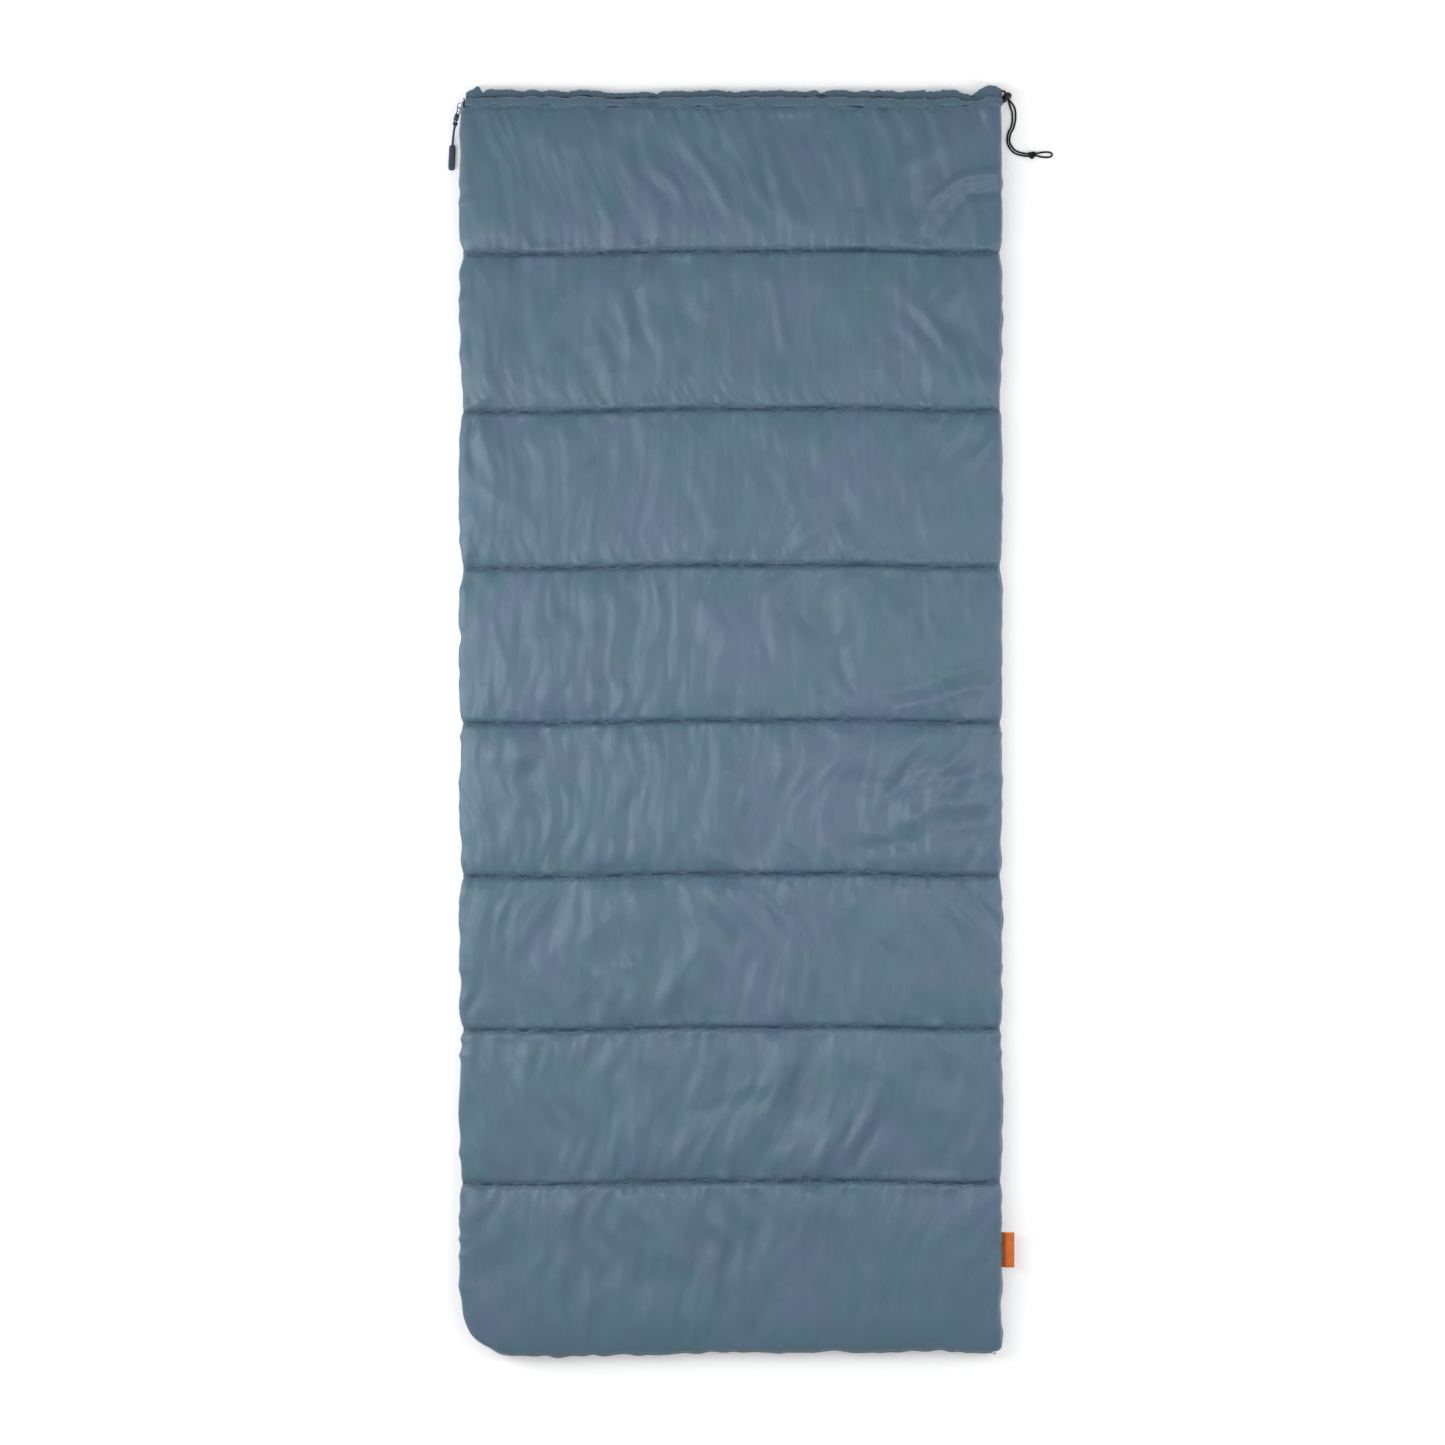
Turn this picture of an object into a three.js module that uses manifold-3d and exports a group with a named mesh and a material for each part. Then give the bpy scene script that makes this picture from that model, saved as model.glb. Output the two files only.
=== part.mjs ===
// Rectangular sleeping bag, closed and lying flat on the floor.
// Millimetres. +Y points to the head end, +X to the folded long side, +Z up.
// The origin is on the floor, under the middle of the bag.
import * as THREE from 'three';
import { mergeVertices } from 'three/addons/utils/BufferGeometryUtils.js';
import Module from 'manifold-3d';

const wasm = await Module();
wasm.setup();

// ---------------------------------------------------------------- driving dimensions

// Plan of the bag: 33 by 77 inches.
const HALF_WIDTH = 419;
const HALF_LENGTH = 978;
const CHANNEL_LENGTHS = [257, 243, 241, 239, 236, 236, 237];   // head to foot, the last is the rest
const FOOT_CORNER_X = 98;         // the rounded corner on the zip side, across
const FOOT_CORNER_Y = 78;         // and along the bag
const FOLD_CORNER_RADIUS = 10;

// Height of the layers. Each quilt is one layer of the bag, and both are alike.
const QUILT_LOFT = 25;            // thickness of a quilt at the crown of a channel
const SEAM_LOFT = 12;             // and where it is stitched through
const HEM_LOFT = 11;
const FOOT_LOFT = 6;
const MID_HEIGHT = 30;            // height of the zip, half way up the bag
const SLEEPER_GAP = 10;           // between the two shells' edges, where the sleeper goes
const CLEARANCE = 0.3;

// Cloth and cord.
const SHELL_CLOTH = 1.0;
const LINER_CLOTH = 0.8;
const ZIP_RECESS = 11;            // how far the zip sits in from the bulging zip side
const HEM_DEPTH = 15;             // the draw-cord channel, along the bag
const HEM_HEIGHT = 11;
const HEM_SEAM = 1;               // gap between a quilt's end and its hem
const HEM_CLOTH = 1.2;
const TOP_HEAD_EDGE = 959;        // the upper layer ends short of the lower one
const BOTTOM_HEAD_EDGE = 975;
const CORD_RADIUS = 1.5;
const THREAD = 0.8;

// Zip.
const TAPE_THICKNESS = 1.0;
const TAPE_LINE_X = -409.1;       // middle of the tape on the straight zip side
const TAPE_LINE_Y = -974.5;       // and along the foot
const ZIP_HEAD_END = 957;
const ZIP_FOOT_END = 404;
const COIL_WIDTH = 2.4;
const COIL_HEIGHT = 2.2;
const COIL_GAP = 1.6;             // between the two rows, room for the slider's wedge
const TAPE_HEIGHT = 3.1;
const SLIDER_Y = 944;
const SLIDER_LENGTH = 22;
const TAB_PIVOT = new THREE.Vector3(-417.9, 945, MID_HEIGHT);
const TAB_LENGTH = 21;
const TAB_LEAN = THREE.MathUtils.degToRad(18);
const TAB_TILT = THREE.MathUtils.degToRad(45);

// Cord lock: an egg-shaped body with a sprung button, its cords passing through it.
const LOCK_CENTRE = new THREE.Vector3(428, 966, 8.8);
const LOCK_CORD_DIRECTION = new THREE.Vector3(0.42, -0.72, -0.55).normalize();
const LOCK_BUTTON_DIRECTION = new THREE.Vector3(-0.864, -0.504, 0).normalize();
const LOCK_HALF_LENGTH = 7.9;
const LOCK_RADIUS = 6.1;

// ---------------------------------------------------------------- materials

const material = (colour, roughness, metalness = 0) =>
  new THREE.MeshStandardMaterial({ color: colour, roughness, metalness });
const SHELL = () => material(0x5f7687, 0.55);
const LINING = () => material(0x5a6f80, 0.7);
const FILL = () => material(0xe8e8e4, 0.95);
const STITCH = () => material(0x36506b, 0.7);
const TAPE = () => material(0x4b6073, 0.8);
const COIL = () => material(0x3f5467, 0.5);
const METAL = () => material(0x6b7784, 0.35, 0.8);
const NAVY_RUBBER = () => material(0x2b405a, 0.6);
const NAVY_CORD = () => material(0x2b405a, 0.8);
const BLACK_CORD = () => material(0x101114, 0.8);
const BLACK_PLASTIC = () => material(0x121316, 0.45);
const STEEL = () => material(0xb8bcc0, 0.3, 0.9);
const LABEL = () => material(0xeb7323, 0.7);

// ---------------------------------------------------------------- helpers

const bag = new THREE.Group();

function put(name, geometry, finish, parent = bag) {
  const mesh = new THREE.Mesh(geometry, finish);
  mesh.name = name;
  parent.add(mesh);
  return mesh;
}

// A closed geometry from points and triangles, turned so that its faces point out.
function closedGeometry(points, triangles) {
  let volume = 0;
  for (const [a, b, c] of triangles) {
    volume += points[a].dot(new THREE.Vector3().crossVectors(points[b], points[c]));
  }
  const faces = volume < 0 ? triangles.map(([a, b, c]) => [a, c, b]) : triangles;
  const geometry = new THREE.BufferGeometry();
  geometry.setFromPoints(points);
  geometry.setIndex(faces.flat());
  geometry.computeVertexNormals();
  return geometry;
}

// Joins equal closed outlines, each in a plane across Y, into one solid with flat ends.
// Each four-sided stretch is split along its shorter diagonal, so that nested solids agree.
function loft(outlines) {
  const count = outlines[0].length;
  const points = outlines.flat();
  const triangles = [];
  for (let row = 0; row + 1 < outlines.length; row += 1) {
    for (let i = 0; i < count; i += 1) {
      const a = row * count + i;
      const b = row * count + (i + 1) % count;
      const [c, d] = [a + count, b + count];
      if (points[a].distanceTo(points[d]) < points[b].distanceTo(points[c])) {
        triangles.push([a, b, d], [a, d, c]);
      } else {
        triangles.push([a, b, c], [b, d, c]);
      }
    }
  }
  for (const row of [0, outlines.length - 1]) {
    const flat = outlines[row].map((p) => new THREE.Vector2(p.x, p.z));
    const turn = Math.sign(THREE.ShapeUtils.area(flat)) * (row === 0 ? -1 : 1);
    for (const corners of THREE.ShapeUtils.triangulateShape(flat, [])) {
      const same = Math.sign(THREE.ShapeUtils.area(corners.map((i) => flat[i]))) === turn;
      const [a, b, c] = corners.map((i) => row * count + i);
      triangles.push(same ? [a, b, c] : [a, c, b]);
    }
  }
  return closedGeometry(points, triangles);
}

const box = (sizeX, sizeY, sizeZ, x, y, z) =>
  new THREE.BoxGeometry(sizeX, sizeY, sizeZ).translate(x, y, z);

function toSolid(geometry) {
  const bare = geometry.clone();
  bare.deleteAttribute('normal');
  bare.deleteAttribute('uv');
  const merged = mergeVertices(bare, 1e-4);
  return new wasm.Manifold(new wasm.Mesh({
    numProp: 3,
    vertProperties: new Float32Array(merged.attributes.position.array),
    triVerts: new Uint32Array(merged.index.array),
  }));
}

function toGeometry(solid) {
  const mesh = solid.getMesh();
  const geometry = new THREE.BufferGeometry();
  const positions = [];
  for (let i = 0; i < mesh.numVert; i += 1) {
    for (let k = 0; k < 3; k += 1) positions.push(mesh.vertProperties[i * mesh.numProp + k]);
  }
  geometry.setAttribute('position', new THREE.Float32BufferAttribute(positions, 3));
  geometry.setIndex(Array.from(mesh.triVerts));
  geometry.computeVertexNormals();
  return geometry;
}

// ---------------------------------------------------------------- plan and loft of a quilt

const FOOT = TAPE_LINE_Y + TAPE_THICKNESS / 2 + CLEARANCE;   // the quilts stop at the zip tape
const CORNER_START = FOOT + FOOT_CORNER_Y;
const LIP_X = TAPE_LINE_X + TAPE_THICKNESS / 2 + CLEARANCE;

// Places of the quilting seams along the bag, head to foot.
const SEAMS = [];
for (const length of CHANNEL_LENGTHS) {
  SEAMS.push((SEAMS.length ? SEAMS[SEAMS.length - 1] : HALF_LENGTH) - length);
}

// 1 on the straight zip side, falling to 0 round the foot corner.
const cornerShare = (y) =>
  Math.sqrt(Math.max(0, 1 - (Math.max(0, CORNER_START - y) / FOOT_CORNER_Y) ** 2));
const bulgeLeft = (y) => -HALF_WIDTH + FOOT_CORNER_X * (1 - cornerShare(y));
const lipLeft = (y) => LIP_X + (FOOT_CORNER_X - ZIP_RECESS + CLEARANCE) * (1 - cornerShare(y));

function foldRight(y) {
  const into = Math.max(0, FOOT + FOLD_CORNER_RADIUS - y);
  return HALF_WIDTH - FOLD_CORNER_RADIUS + Math.sqrt(FOLD_CORNER_RADIUS ** 2 - into ** 2);
}

// Shares of a channel's length and of its full loft there: steep at the seams, flat between.
const PUFF = [[0, 0], [0.12, 0.74], [0.34, 1], [0.66, 1], [0.88, 0.74]];

// The stations of a quilt from foot to head, each with its loft.
function stations(headEdge) {
  const edges = [headEdge, ...SEAMS, FOOT];
  const list = [];
  for (let channel = edges.length - 2; channel >= 0; channel -= 1) {
    const [from, to] = [edges[channel + 1], edges[channel]];
    const fromFoot = channel === edges.length - 2;
    const toHead = channel === 0;
    for (const [share, puff] of PUFF) {
      if (fromFoot && share < 0.3) continue;
      if (toHead && share > 0.7) continue;
      list.push({ y: from + share * (to - from), loft: SEAM_LOFT + puff * (QUILT_LOFT - SEAM_LOFT) });
    }
  }
  const footEnd = [0, 0.06, 0.2, 0.42, 0.7, 1].map((share) => ({
    y: FOOT + share * FOOT_CORNER_Y,
    loft: FOOT_LOFT + (QUILT_LOFT - FOOT_LOFT) * Math.sqrt(1 - (1 - share) ** 2),
  }));
  const headEnd = [1, 0.5, 0.15, 0].map((share) => ({
    y: headEdge - share * 40,
    loft: HEM_LOFT + (QUILT_LOFT - HEM_LOFT) * Math.sqrt(1 - (1 - share) ** 2),
  }));
  return [...footEnd, ...list, ...headEnd];
}

// Half outline across a quilt at one station: from the zip side's lip, over the crown, to the
// fold. Heights are above the quilt's inner face. The zip side bulges past its lip.
function quiltArch({ y, loft: full }, inset) {
  const height = full - inset;
  const soft = full / QUILT_LOFT;
  const left = bulgeLeft(y) + inset;
  const lip = lipLeft(y) + inset;
  const right = foldRight(y) - inset;
  return [
    [lip, 0], [left + (lip - left) * 0.14, 0.18 * height], [left, 0.38 * height],
    [left + 3 * soft, 0.62 * height], [left + 13 * soft, 0.87 * height],
    [left + 40 * soft, height], [right - 40 * soft, height],
    [right - 13 * soft, 0.84 * height], [right - 4 * soft, 0.56 * height],
    [right - 0.6, 0.24 * height], [right, 0],
  ];
}

// The upper quilt stands on its inner face, the lower one hangs from its own.
const LAYERS = [
  { name: 'bottom', sign: -1, innerFace: MID_HEIGHT - SLEEPER_GAP / 2, headEdge: BOTTOM_HEAD_EDGE },
  { name: 'top', sign: 1, innerFace: MID_HEIGHT + SLEEPER_GAP / 2, headEdge: TOP_HEAD_EDGE },
];
const raise = (layer, y) => ([x, height]) =>
  new THREE.Vector3(x, y, layer.innerFace + layer.sign * height);

const quiltStations = (layer) => stations(layer.headEdge - HEM_DEPTH - HEM_SEAM);

function shellGeometry(layer) {
  return loft(quiltStations(layer).map((station) => {
    const outer = quiltArch(station, 0).map(raise(layer, station.y));
    const inner = quiltArch(station, SHELL_CLOTH).map(raise(layer, station.y));
    return [...outer, ...inner.reverse()];
  }));
}

function battGeometry(layer) {
  return loft(quiltStations(layer).map((station) =>
    quiltArch(station, SHELL_CLOTH + CLEARANCE).map(raise(layer, station.y))));
}

// The liner is a flat sheet just inside the open side of the shell.
function linerGeometry(layer) {
  const near = CLEARANCE;
  const far = CLEARANCE + LINER_CLOTH;
  return loft(quiltStations(layer).map(({ y }) => {
    const left = lipLeft(y) + SHELL_CLOTH;
    const right = foldRight(y) - SHELL_CLOTH;
    return [[left, -near], [right, -near], [right, -far], [left, -far]].map(raise(layer, y));
  }));
}

// A run of quilting thread lying in the seam's groove, on the outside of the shell.
function stitchGeometry(layer, seam) {
  const reach = HALF_WIDTH - 22;
  const z = layer.innerFace + layer.sign * (SEAM_LOFT + CLEARANCE + THREAD / 2);
  return box(2 * reach, THREAD, THREAD, 0, seam, z);
}

for (const layer of LAYERS) {
  put(`${layer.name}_shell`, shellGeometry(layer), SHELL());
  put(`${layer.name}_insulation`, battGeometry(layer), FILL());
  put(`${layer.name}_liner`, linerGeometry(layer), LINING());
  SEAMS.forEach((seam, i) => {
    put(`${layer.name}_quilt_thread_${i + 1}`, stitchGeometry(layer, seam), STITCH());
  });
}

// ---------------------------------------------------------------- draw-cord hems

const HEM_LEFT = -405;
const HEM_RIGHT = 417.5;

function roundedOutline(width, height, radius) {
  const shape = new THREE.Shape();
  const [x, y] = [width / 2 - radius, height / 2 - radius];
  shape.absarc(x, y, radius, 0, Math.PI / 2);
  shape.absarc(-x, y, radius, Math.PI / 2, Math.PI);
  shape.absarc(-x, -y, radius, Math.PI, 1.5 * Math.PI);
  shape.absarc(x, -y, radius, 1.5 * Math.PI, 2 * Math.PI);
  return shape;
}

// An outline drawn across the bag (its x along Y, its y along Z), run along X.
function alongX(shape, from, to, y, z, curveSegments) {
  const geometry = new THREE.ExtrudeGeometry(shape,
    { depth: to - from, bevelEnabled: false, curveSegments });
  const turn = new THREE.Matrix4().makeBasis(
    new THREE.Vector3(0, 1, 0), new THREE.Vector3(0, 0, 1), new THREE.Vector3(1, 0, 0));
  return geometry.applyMatrix4(turn).translate(from, y, z);
}

const hemHeight = (layer) => layer.innerFace + layer.sign * HEM_HEIGHT / 2;
for (const layer of LAYERS) {
  const channel = roundedOutline(HEM_DEPTH, HEM_HEIGHT, 4.5);
  const hollow = roundedOutline(HEM_DEPTH - 2 * HEM_CLOTH, HEM_HEIGHT - 2 * HEM_CLOTH, 3.3);
  channel.holes.push(hollow);
  const y = layer.headEdge - HEM_DEPTH / 2;
  put(`${layer.name}_hem`, alongX(channel, HEM_LEFT, HEM_RIGHT, y, hemHeight(layer), 3), SHELL());
  const cord = new THREE.CylinderGeometry(CORD_RADIUS, CORD_RADIUS, HEM_RIGHT - HEM_LEFT - 1.5, 8);
  cord.rotateZ(Math.PI / 2).translate((HEM_LEFT + HEM_RIGHT) / 2, y, hemHeight(layer));
  put(`${layer.name}_hem_cord`, cord, BLACK_CORD());
}

// ---------------------------------------------------------------- zip

// The line that the tape stands on: down the zip side, round the corner and along the foot.
// `outwards` moves it away from the bag.
function zipLine(outwards) {
  const points = [[TAPE_LINE_X - outwards, ZIP_HEAD_END]];
  const reachX = FOOT_CORNER_X - ZIP_RECESS;
  const centre = [TAPE_LINE_X + reachX, CORNER_START];
  const reachY = CORNER_START - TAPE_LINE_Y;
  for (let i = 0; i <= 8; i += 1) {
    const angle = Math.PI + (i / 8) * (Math.PI / 2);
    points.push([
      centre[0] + (reachX + outwards) * Math.cos(angle),
      centre[1] + (reachY + outwards) * Math.sin(angle),
    ]);
  }
  points.push([ZIP_FOOT_END, TAPE_LINE_Y - outwards]);
  return points;
}

function zipStrip(inside, outside, low, high) {
  const outline = [...zipLine(inside), ...zipLine(outside).reverse()];
  const shape = new THREE.Shape(outline.map(([x, y]) => new THREE.Vector2(x, y)));
  const geometry = new THREE.ExtrudeGeometry(shape, { depth: high - low, bevelEnabled: false });
  return geometry.translate(0, 0, low);
}

const COIL_INSIDE = TAPE_THICKNESS / 2 + CLEARANCE;
const COIL_OUTSIDE = COIL_INSIDE + COIL_WIDTH;
for (const layer of LAYERS) {
  const edge = MID_HEIGHT + layer.sign * COIL_GAP / 2;
  const tape = [edge, edge + layer.sign * TAPE_HEIGHT].sort((a, b) => a - b);
  const coil = [edge, edge + layer.sign * COIL_HEIGHT].sort((a, b) => a - b);
  put(`${layer.name}_zip_tape`,
    zipStrip(-TAPE_THICKNESS / 2, TAPE_THICKNESS / 2, ...tape), TAPE());
  put(`${layer.name}_zip_coil`, zipStrip(COIL_INSIDE, COIL_OUTSIDE, ...coil), COIL());
  const stopX = TAPE_LINE_X - (COIL_INSIDE + COIL_OUTSIDE) / 2;
  const stopZ = edge + layer.sign * COIL_HEIGHT / 2;
  put(`${layer.name}_zip_top_stop`,
    box(COIL_WIDTH, 3, COIL_HEIGHT, stopX, ZIP_HEAD_END + 1.8, stopZ), METAL());
}
put('zip_bottom_stop',
  box(4, COIL_WIDTH, 3, ZIP_FOOT_END + 3.4, TAPE_LINE_Y - COIL_INSIDE - COIL_WIDTH / 2,
    MID_HEIGHT - 1), METAL());

// Slider: an outer and an inner plate joined by the wedge that runs between the two rows.
const PLATE = 1.5;
const INNER_PLATE_X = TAPE_LINE_X + TAPE_THICKNESS / 2 + CLEARANCE;
const OUTER_PLATE_X = TAPE_LINE_X - COIL_OUTSIDE - CLEARANCE;
const BRIDGE_WIRE = 1.3;
const BRIDGE_HEIGHT = 6.6;

function plateGeometry(x, headWidth, tailWidth) {
  const [head, tail] = [SLIDER_LENGTH / 2, -SLIDER_LENGTH / 2];
  const shape = new THREE.Shape();
  shape.moveTo(tail, -tailWidth / 2);
  shape.quadraticCurveTo(0, -tailWidth / 2, head - 4, -headWidth / 2);
  shape.quadraticCurveTo(head, -headWidth / 2, head, 0);
  shape.quadraticCurveTo(head, headWidth / 2, head - 4, headWidth / 2);
  shape.quadraticCurveTo(0, tailWidth / 2, tail, tailWidth / 2);
  const geometry = new THREE.ExtrudeGeometry(shape,
    { depth: PLATE, bevelEnabled: false, curveSegments: 5 });
  const turn = new THREE.Matrix4().makeBasis(
    new THREE.Vector3(0, 1, 0), new THREE.Vector3(0, 0, 1), new THREE.Vector3(1, 0, 0));
  return geometry.applyMatrix4(turn).translate(x, SLIDER_Y, MID_HEIGHT);
}

const wedge = box(INNER_PLATE_X - OUTER_PLATE_X + 1, 6, COIL_GAP - 0.6,
  (INNER_PLATE_X + OUTER_PLATE_X) / 2, SLIDER_Y + 6, MID_HEIGHT);
put('zip_slider', toGeometry(toSolid(plateGeometry(OUTER_PLATE_X - PLATE, 9.6, 8))
  .add(toSolid(plateGeometry(INNER_PLATE_X, 7.4, 6.6)))
  .add(toSolid(wedge))), METAL());

// The bridge is a bow of wire standing on the outer plate, along the way the slider runs.
const bridgeFoot = OUTER_PLATE_X - PLATE - CLEARANCE;
const bridgeTop = bridgeFoot - BRIDGE_HEIGHT;
const bow = new THREE.CatmullRomCurve3([
  [bridgeFoot, 7.4], [bridgeFoot - 3.5, 7.2], [bridgeTop, 4.6], [bridgeTop - 0.2, 0],
  [bridgeTop, -4.6], [bridgeFoot - 3.5, -7.2], [bridgeFoot, -7.4],
].map(([x, y]) => new THREE.Vector3(x, TAB_PIVOT.y + y, MID_HEIGHT)));

function roundShape(radius, sides) {
  const shape = new THREE.Shape();
  for (let i = 0; i < sides; i += 1) {
    const angle = (2 * Math.PI * i) / sides;
    const [x, y] = [radius * Math.cos(angle), radius * Math.sin(angle)];
    if (i === 0) shape.moveTo(x, y);
    else shape.lineTo(x, y);
  }
  shape.closePath();
  return shape;
}
const tube = (curve, radius, steps, sides = 8) =>
  new THREE.ExtrudeGeometry(roundShape(radius, sides), { steps, extrudePath: curve });
put('zip_slider_bridge', tube(bow, BRIDGE_WIRE / 2, 14), METAL());

// ---------------------------------------------------------------- puller tab and pull

// Frame of the tab: along its length, across its face, and out of its face.
const along = new THREE.Vector3(-Math.sin(TAB_LEAN), -Math.cos(TAB_LEAN), 0);
const level = new THREE.Vector3(0, 0, 1).cross(along);
const across = new THREE.Vector3(0, 0, Math.cos(TAB_TILT)).addScaledVector(level, -Math.sin(TAB_TILT));
const outOfFace = new THREE.Vector3().crossVectors(across, along);

function tabShape() {
  const shape = new THREE.Shape();
  shape.moveTo(-2.6, -0.9);
  shape.lineTo(2.6, -0.9);
  shape.quadraticCurveTo(3.2, -0.9, 3.2, 0);
  shape.lineTo(3.4, 9);
  shape.quadraticCurveTo(4.6, 14, 4.6, 18);
  shape.quadraticCurveTo(4.6, TAB_LENGTH, 2, TAB_LENGTH);
  shape.lineTo(-2, TAB_LENGTH);
  shape.quadraticCurveTo(-4.6, TAB_LENGTH, -4.6, 18);
  shape.quadraticCurveTo(-4.6, 14, -3.4, 9);
  shape.lineTo(-3.2, 0);
  shape.quadraticCurveTo(-3.2, -0.9, -2.6, -0.9);
  const eye = new THREE.Path();
  eye.moveTo(-2.1, 0.9);
  eye.lineTo(-2.1, 9.5);
  eye.lineTo(2.1, 9.5);
  eye.lineTo(2.1, 0.9);
  eye.closePath();
  const slot = new THREE.Path();
  slot.moveTo(-2.7, 16.4);
  slot.lineTo(-2.7, 18.8);
  slot.lineTo(2.7, 18.8);
  slot.lineTo(2.7, 16.4);
  slot.closePath();
  shape.holes.push(eye, slot);
  return shape;
}
const TAB_THICKNESS = 1.2;
const tabGeometry = new THREE.ExtrudeGeometry(tabShape(),
  { depth: TAB_THICKNESS, bevelEnabled: false, curveSegments: 4 });
tabGeometry.translate(0, 0, -TAB_THICKNESS / 2);
tabGeometry.applyMatrix4(new THREE.Matrix4().makeBasis(across, along, outOfFace));
tabGeometry.translate(...TAB_PIVOT.toArray());
put('zip_puller_tab', tabGeometry, METAL());

// The pull: a knot under the tab, a twisted cord down to the floor and a soft grip on it.
const PULL_KNOT = new THREE.Vector3(-424.9, 920.4, 25.6);
const PULL_CORD_RADIUS = 2;
const GRIP = { top: new THREE.Vector3(-430.6, 891.4, 5), length: 39.5, width: 10.3, thickness: 7 };
const GRIP_LEAN = THREE.MathUtils.degToRad(2.5);

put('zip_pull_knot',
  new THREE.SphereGeometry(1, 12, 8).scale(4.2, 4.6, 4).translate(...PULL_KNOT.toArray()),
  NAVY_CORD());
const pullRoute = new THREE.CatmullRomCurve3([
  [-426.2, 915.9, 23.4], [-427.4, 911, 19.6], [-428.8, 904.5, 12.6], [-429.9, 898.4, 6.6],
  [-430.4, 892.6, 5.1],
].map((p) => new THREE.Vector3(...p)));
put('zip_pull_cord', tube(pullRoute, PULL_CORD_RADIUS, 8), NAVY_CORD());

const gripShape = roundedOutline(GRIP.width - 1.6, GRIP.length - 1.6, 4.3);
const gripGeometry = new THREE.ExtrudeGeometry(gripShape, {
  depth: GRIP.thickness - 1.6, bevelThickness: 0.8, bevelSize: 0.8, bevelSegments: 1,
  curveSegments: 5,
});
gripGeometry.translate(0, -GRIP.length / 2, -GRIP.thickness / 2 + 0.8).rotateZ(-GRIP_LEAN);
gripGeometry.translate(GRIP.top.x, GRIP.top.y, GRIP.top.z - 0.9);
put('zip_pull_grip', gripGeometry, NAVY_RUBBER());

// ---------------------------------------------------------------- fold strip and label

const FOLD_STRIP_X = HALF_WIDTH + CLEARANCE;
put('side_fold_strip',
  box(0.5, 1900, 16, FOLD_STRIP_X + 0.25, -14, MID_HEIGHT), SHELL());
const LABEL_SIZE = { out: 17.5, along: 54, thick: 0.8, y: -816 };
put('side_label',
  box(LABEL_SIZE.out, LABEL_SIZE.along, LABEL_SIZE.thick,
    HALF_WIDTH + 1.1 + LABEL_SIZE.out / 2, LABEL_SIZE.y, MID_HEIGHT), LABEL());

// ---------------------------------------------------------------- draw cord outside the hems

const curveThrough = (points) =>
  new THREE.CatmullRomCurve3(points.map((p) => new THREE.Vector3(...p)), false, 'centripetal');

// From the lower hem, down through the lock and over the floor to the knot.
const LOWER_STRAND = [
  [417.2, 970.3, 20.2], [418.8, 971.4, 19.9], [421.2, 973.0, 18.0], [423.2, 973.0, 14.4],
  [424.98, 971.12, 10.64], [427.5, 966.8, 7.34], [429.9, 962.7, 4.2], [431.7, 957.4, 1.9],
  [434.1, 949.8, 1.7], [436.6, 941.5, 1.7], [437.0, 930.5, 1.7], [435.0, 919.8, 1.7],
  [430.8, 911.4, 1.7], [428.9, 899.6, 1.7], [431.4, 889.6, 1.7], [439.4, 879.9, 1.8],
  [449.6, 876.0, 2.4], [459.8, 874.2, 4.2],
];
// From the upper hem, beside the first one.
const UPPER_STRAND = [
  [417.2, 951.5, 40], [421.4, 952.6, 39.3], [424.9, 956.6, 35.8], [425.8, 962.5, 30.3],
  [425.2, 968.0, 24.4], [424.9, 970.6, 18.7], [425.98, 969.52, 13.56], [428.5, 965.2, 10.26],
  [431.3, 960.9, 7.1], [435.4, 957.0, 4.0], [440.2, 949.8, 1.9], [441.9, 941.0, 1.7],
  [441.5, 929.6, 1.7], [438.8, 918.3, 1.7], [434.4, 909.6, 1.7], [432.6, 899.4, 1.7],
  [434.9, 891.6, 1.7], [441.6, 883.6, 1.8], [450.4, 879.8, 2.4], [459.8, 877.9, 4.2],
];
// The bight past the knot.
const LOOP = [
  [474.6, 874.9, 4.2], [481, 873.4, 2.2], [489, 872.8, 1.7], [494.6, 873.1, 1.7],
  [497.6, 874.7, 1.7], [498.5, 876.8, 1.7], [497.6, 878.9, 1.7], [494.6, 880.5, 1.7],
  [489, 880.8, 1.7], [481, 880.2, 2.2],
  [474.6, 878.5, 4.2],
];
put('drawcord_lower_strand', tube(curveThrough(LOWER_STRAND), CORD_RADIUS, 28), BLACK_CORD());
put('drawcord_upper_strand', tube(curveThrough(UPPER_STRAND), CORD_RADIUS, 32), BLACK_CORD());
put('drawcord_loop', tube(curveThrough(LOOP), CORD_RADIUS, 16), BLACK_CORD());
put('drawcord_knot',
  new THREE.SphereGeometry(1, 12, 8).scale(6.8, 6.6, 4.4).translate(467.2, 876.3, 4.7),
  BLACK_CORD());

// ---------------------------------------------------------------- cord lock

const lock = new THREE.Group();
const lockSide = new THREE.Vector3().crossVectors(LOCK_CORD_DIRECTION, LOCK_BUTTON_DIRECTION);
lock.applyMatrix4(new THREE.Matrix4()
  .makeBasis(LOCK_BUTTON_DIRECTION, lockSide, LOCK_CORD_DIRECTION)
  .setPosition(LOCK_CENTRE));
bag.add(lock);

// In the lock's own frame: x along the button, z along the cords.
const SHANK_RADIUS = 4.2;
const SHANK = { inner: -2.9, outer: 7.4 };
const HEAD = { radius: 5, thickness: 2 };
const BORE = { radius: SHANK_RADIUS + 0.4, end: -4.7 };
const SPRING_BORE = { radius: 2.9, end: -6.3 };
const cordSlot = (width, height, centre) =>
  toSolid(box(width, height, 2 * LOCK_RADIUS + 4, centre, 0, 0));
const rod = (radius, from, to, sides = 20) =>
  new THREE.CylinderGeometry(radius, radius, to - from, sides)
    .rotateZ(Math.PI / 2).translate((from + to) / 2, 0, 0);

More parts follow.
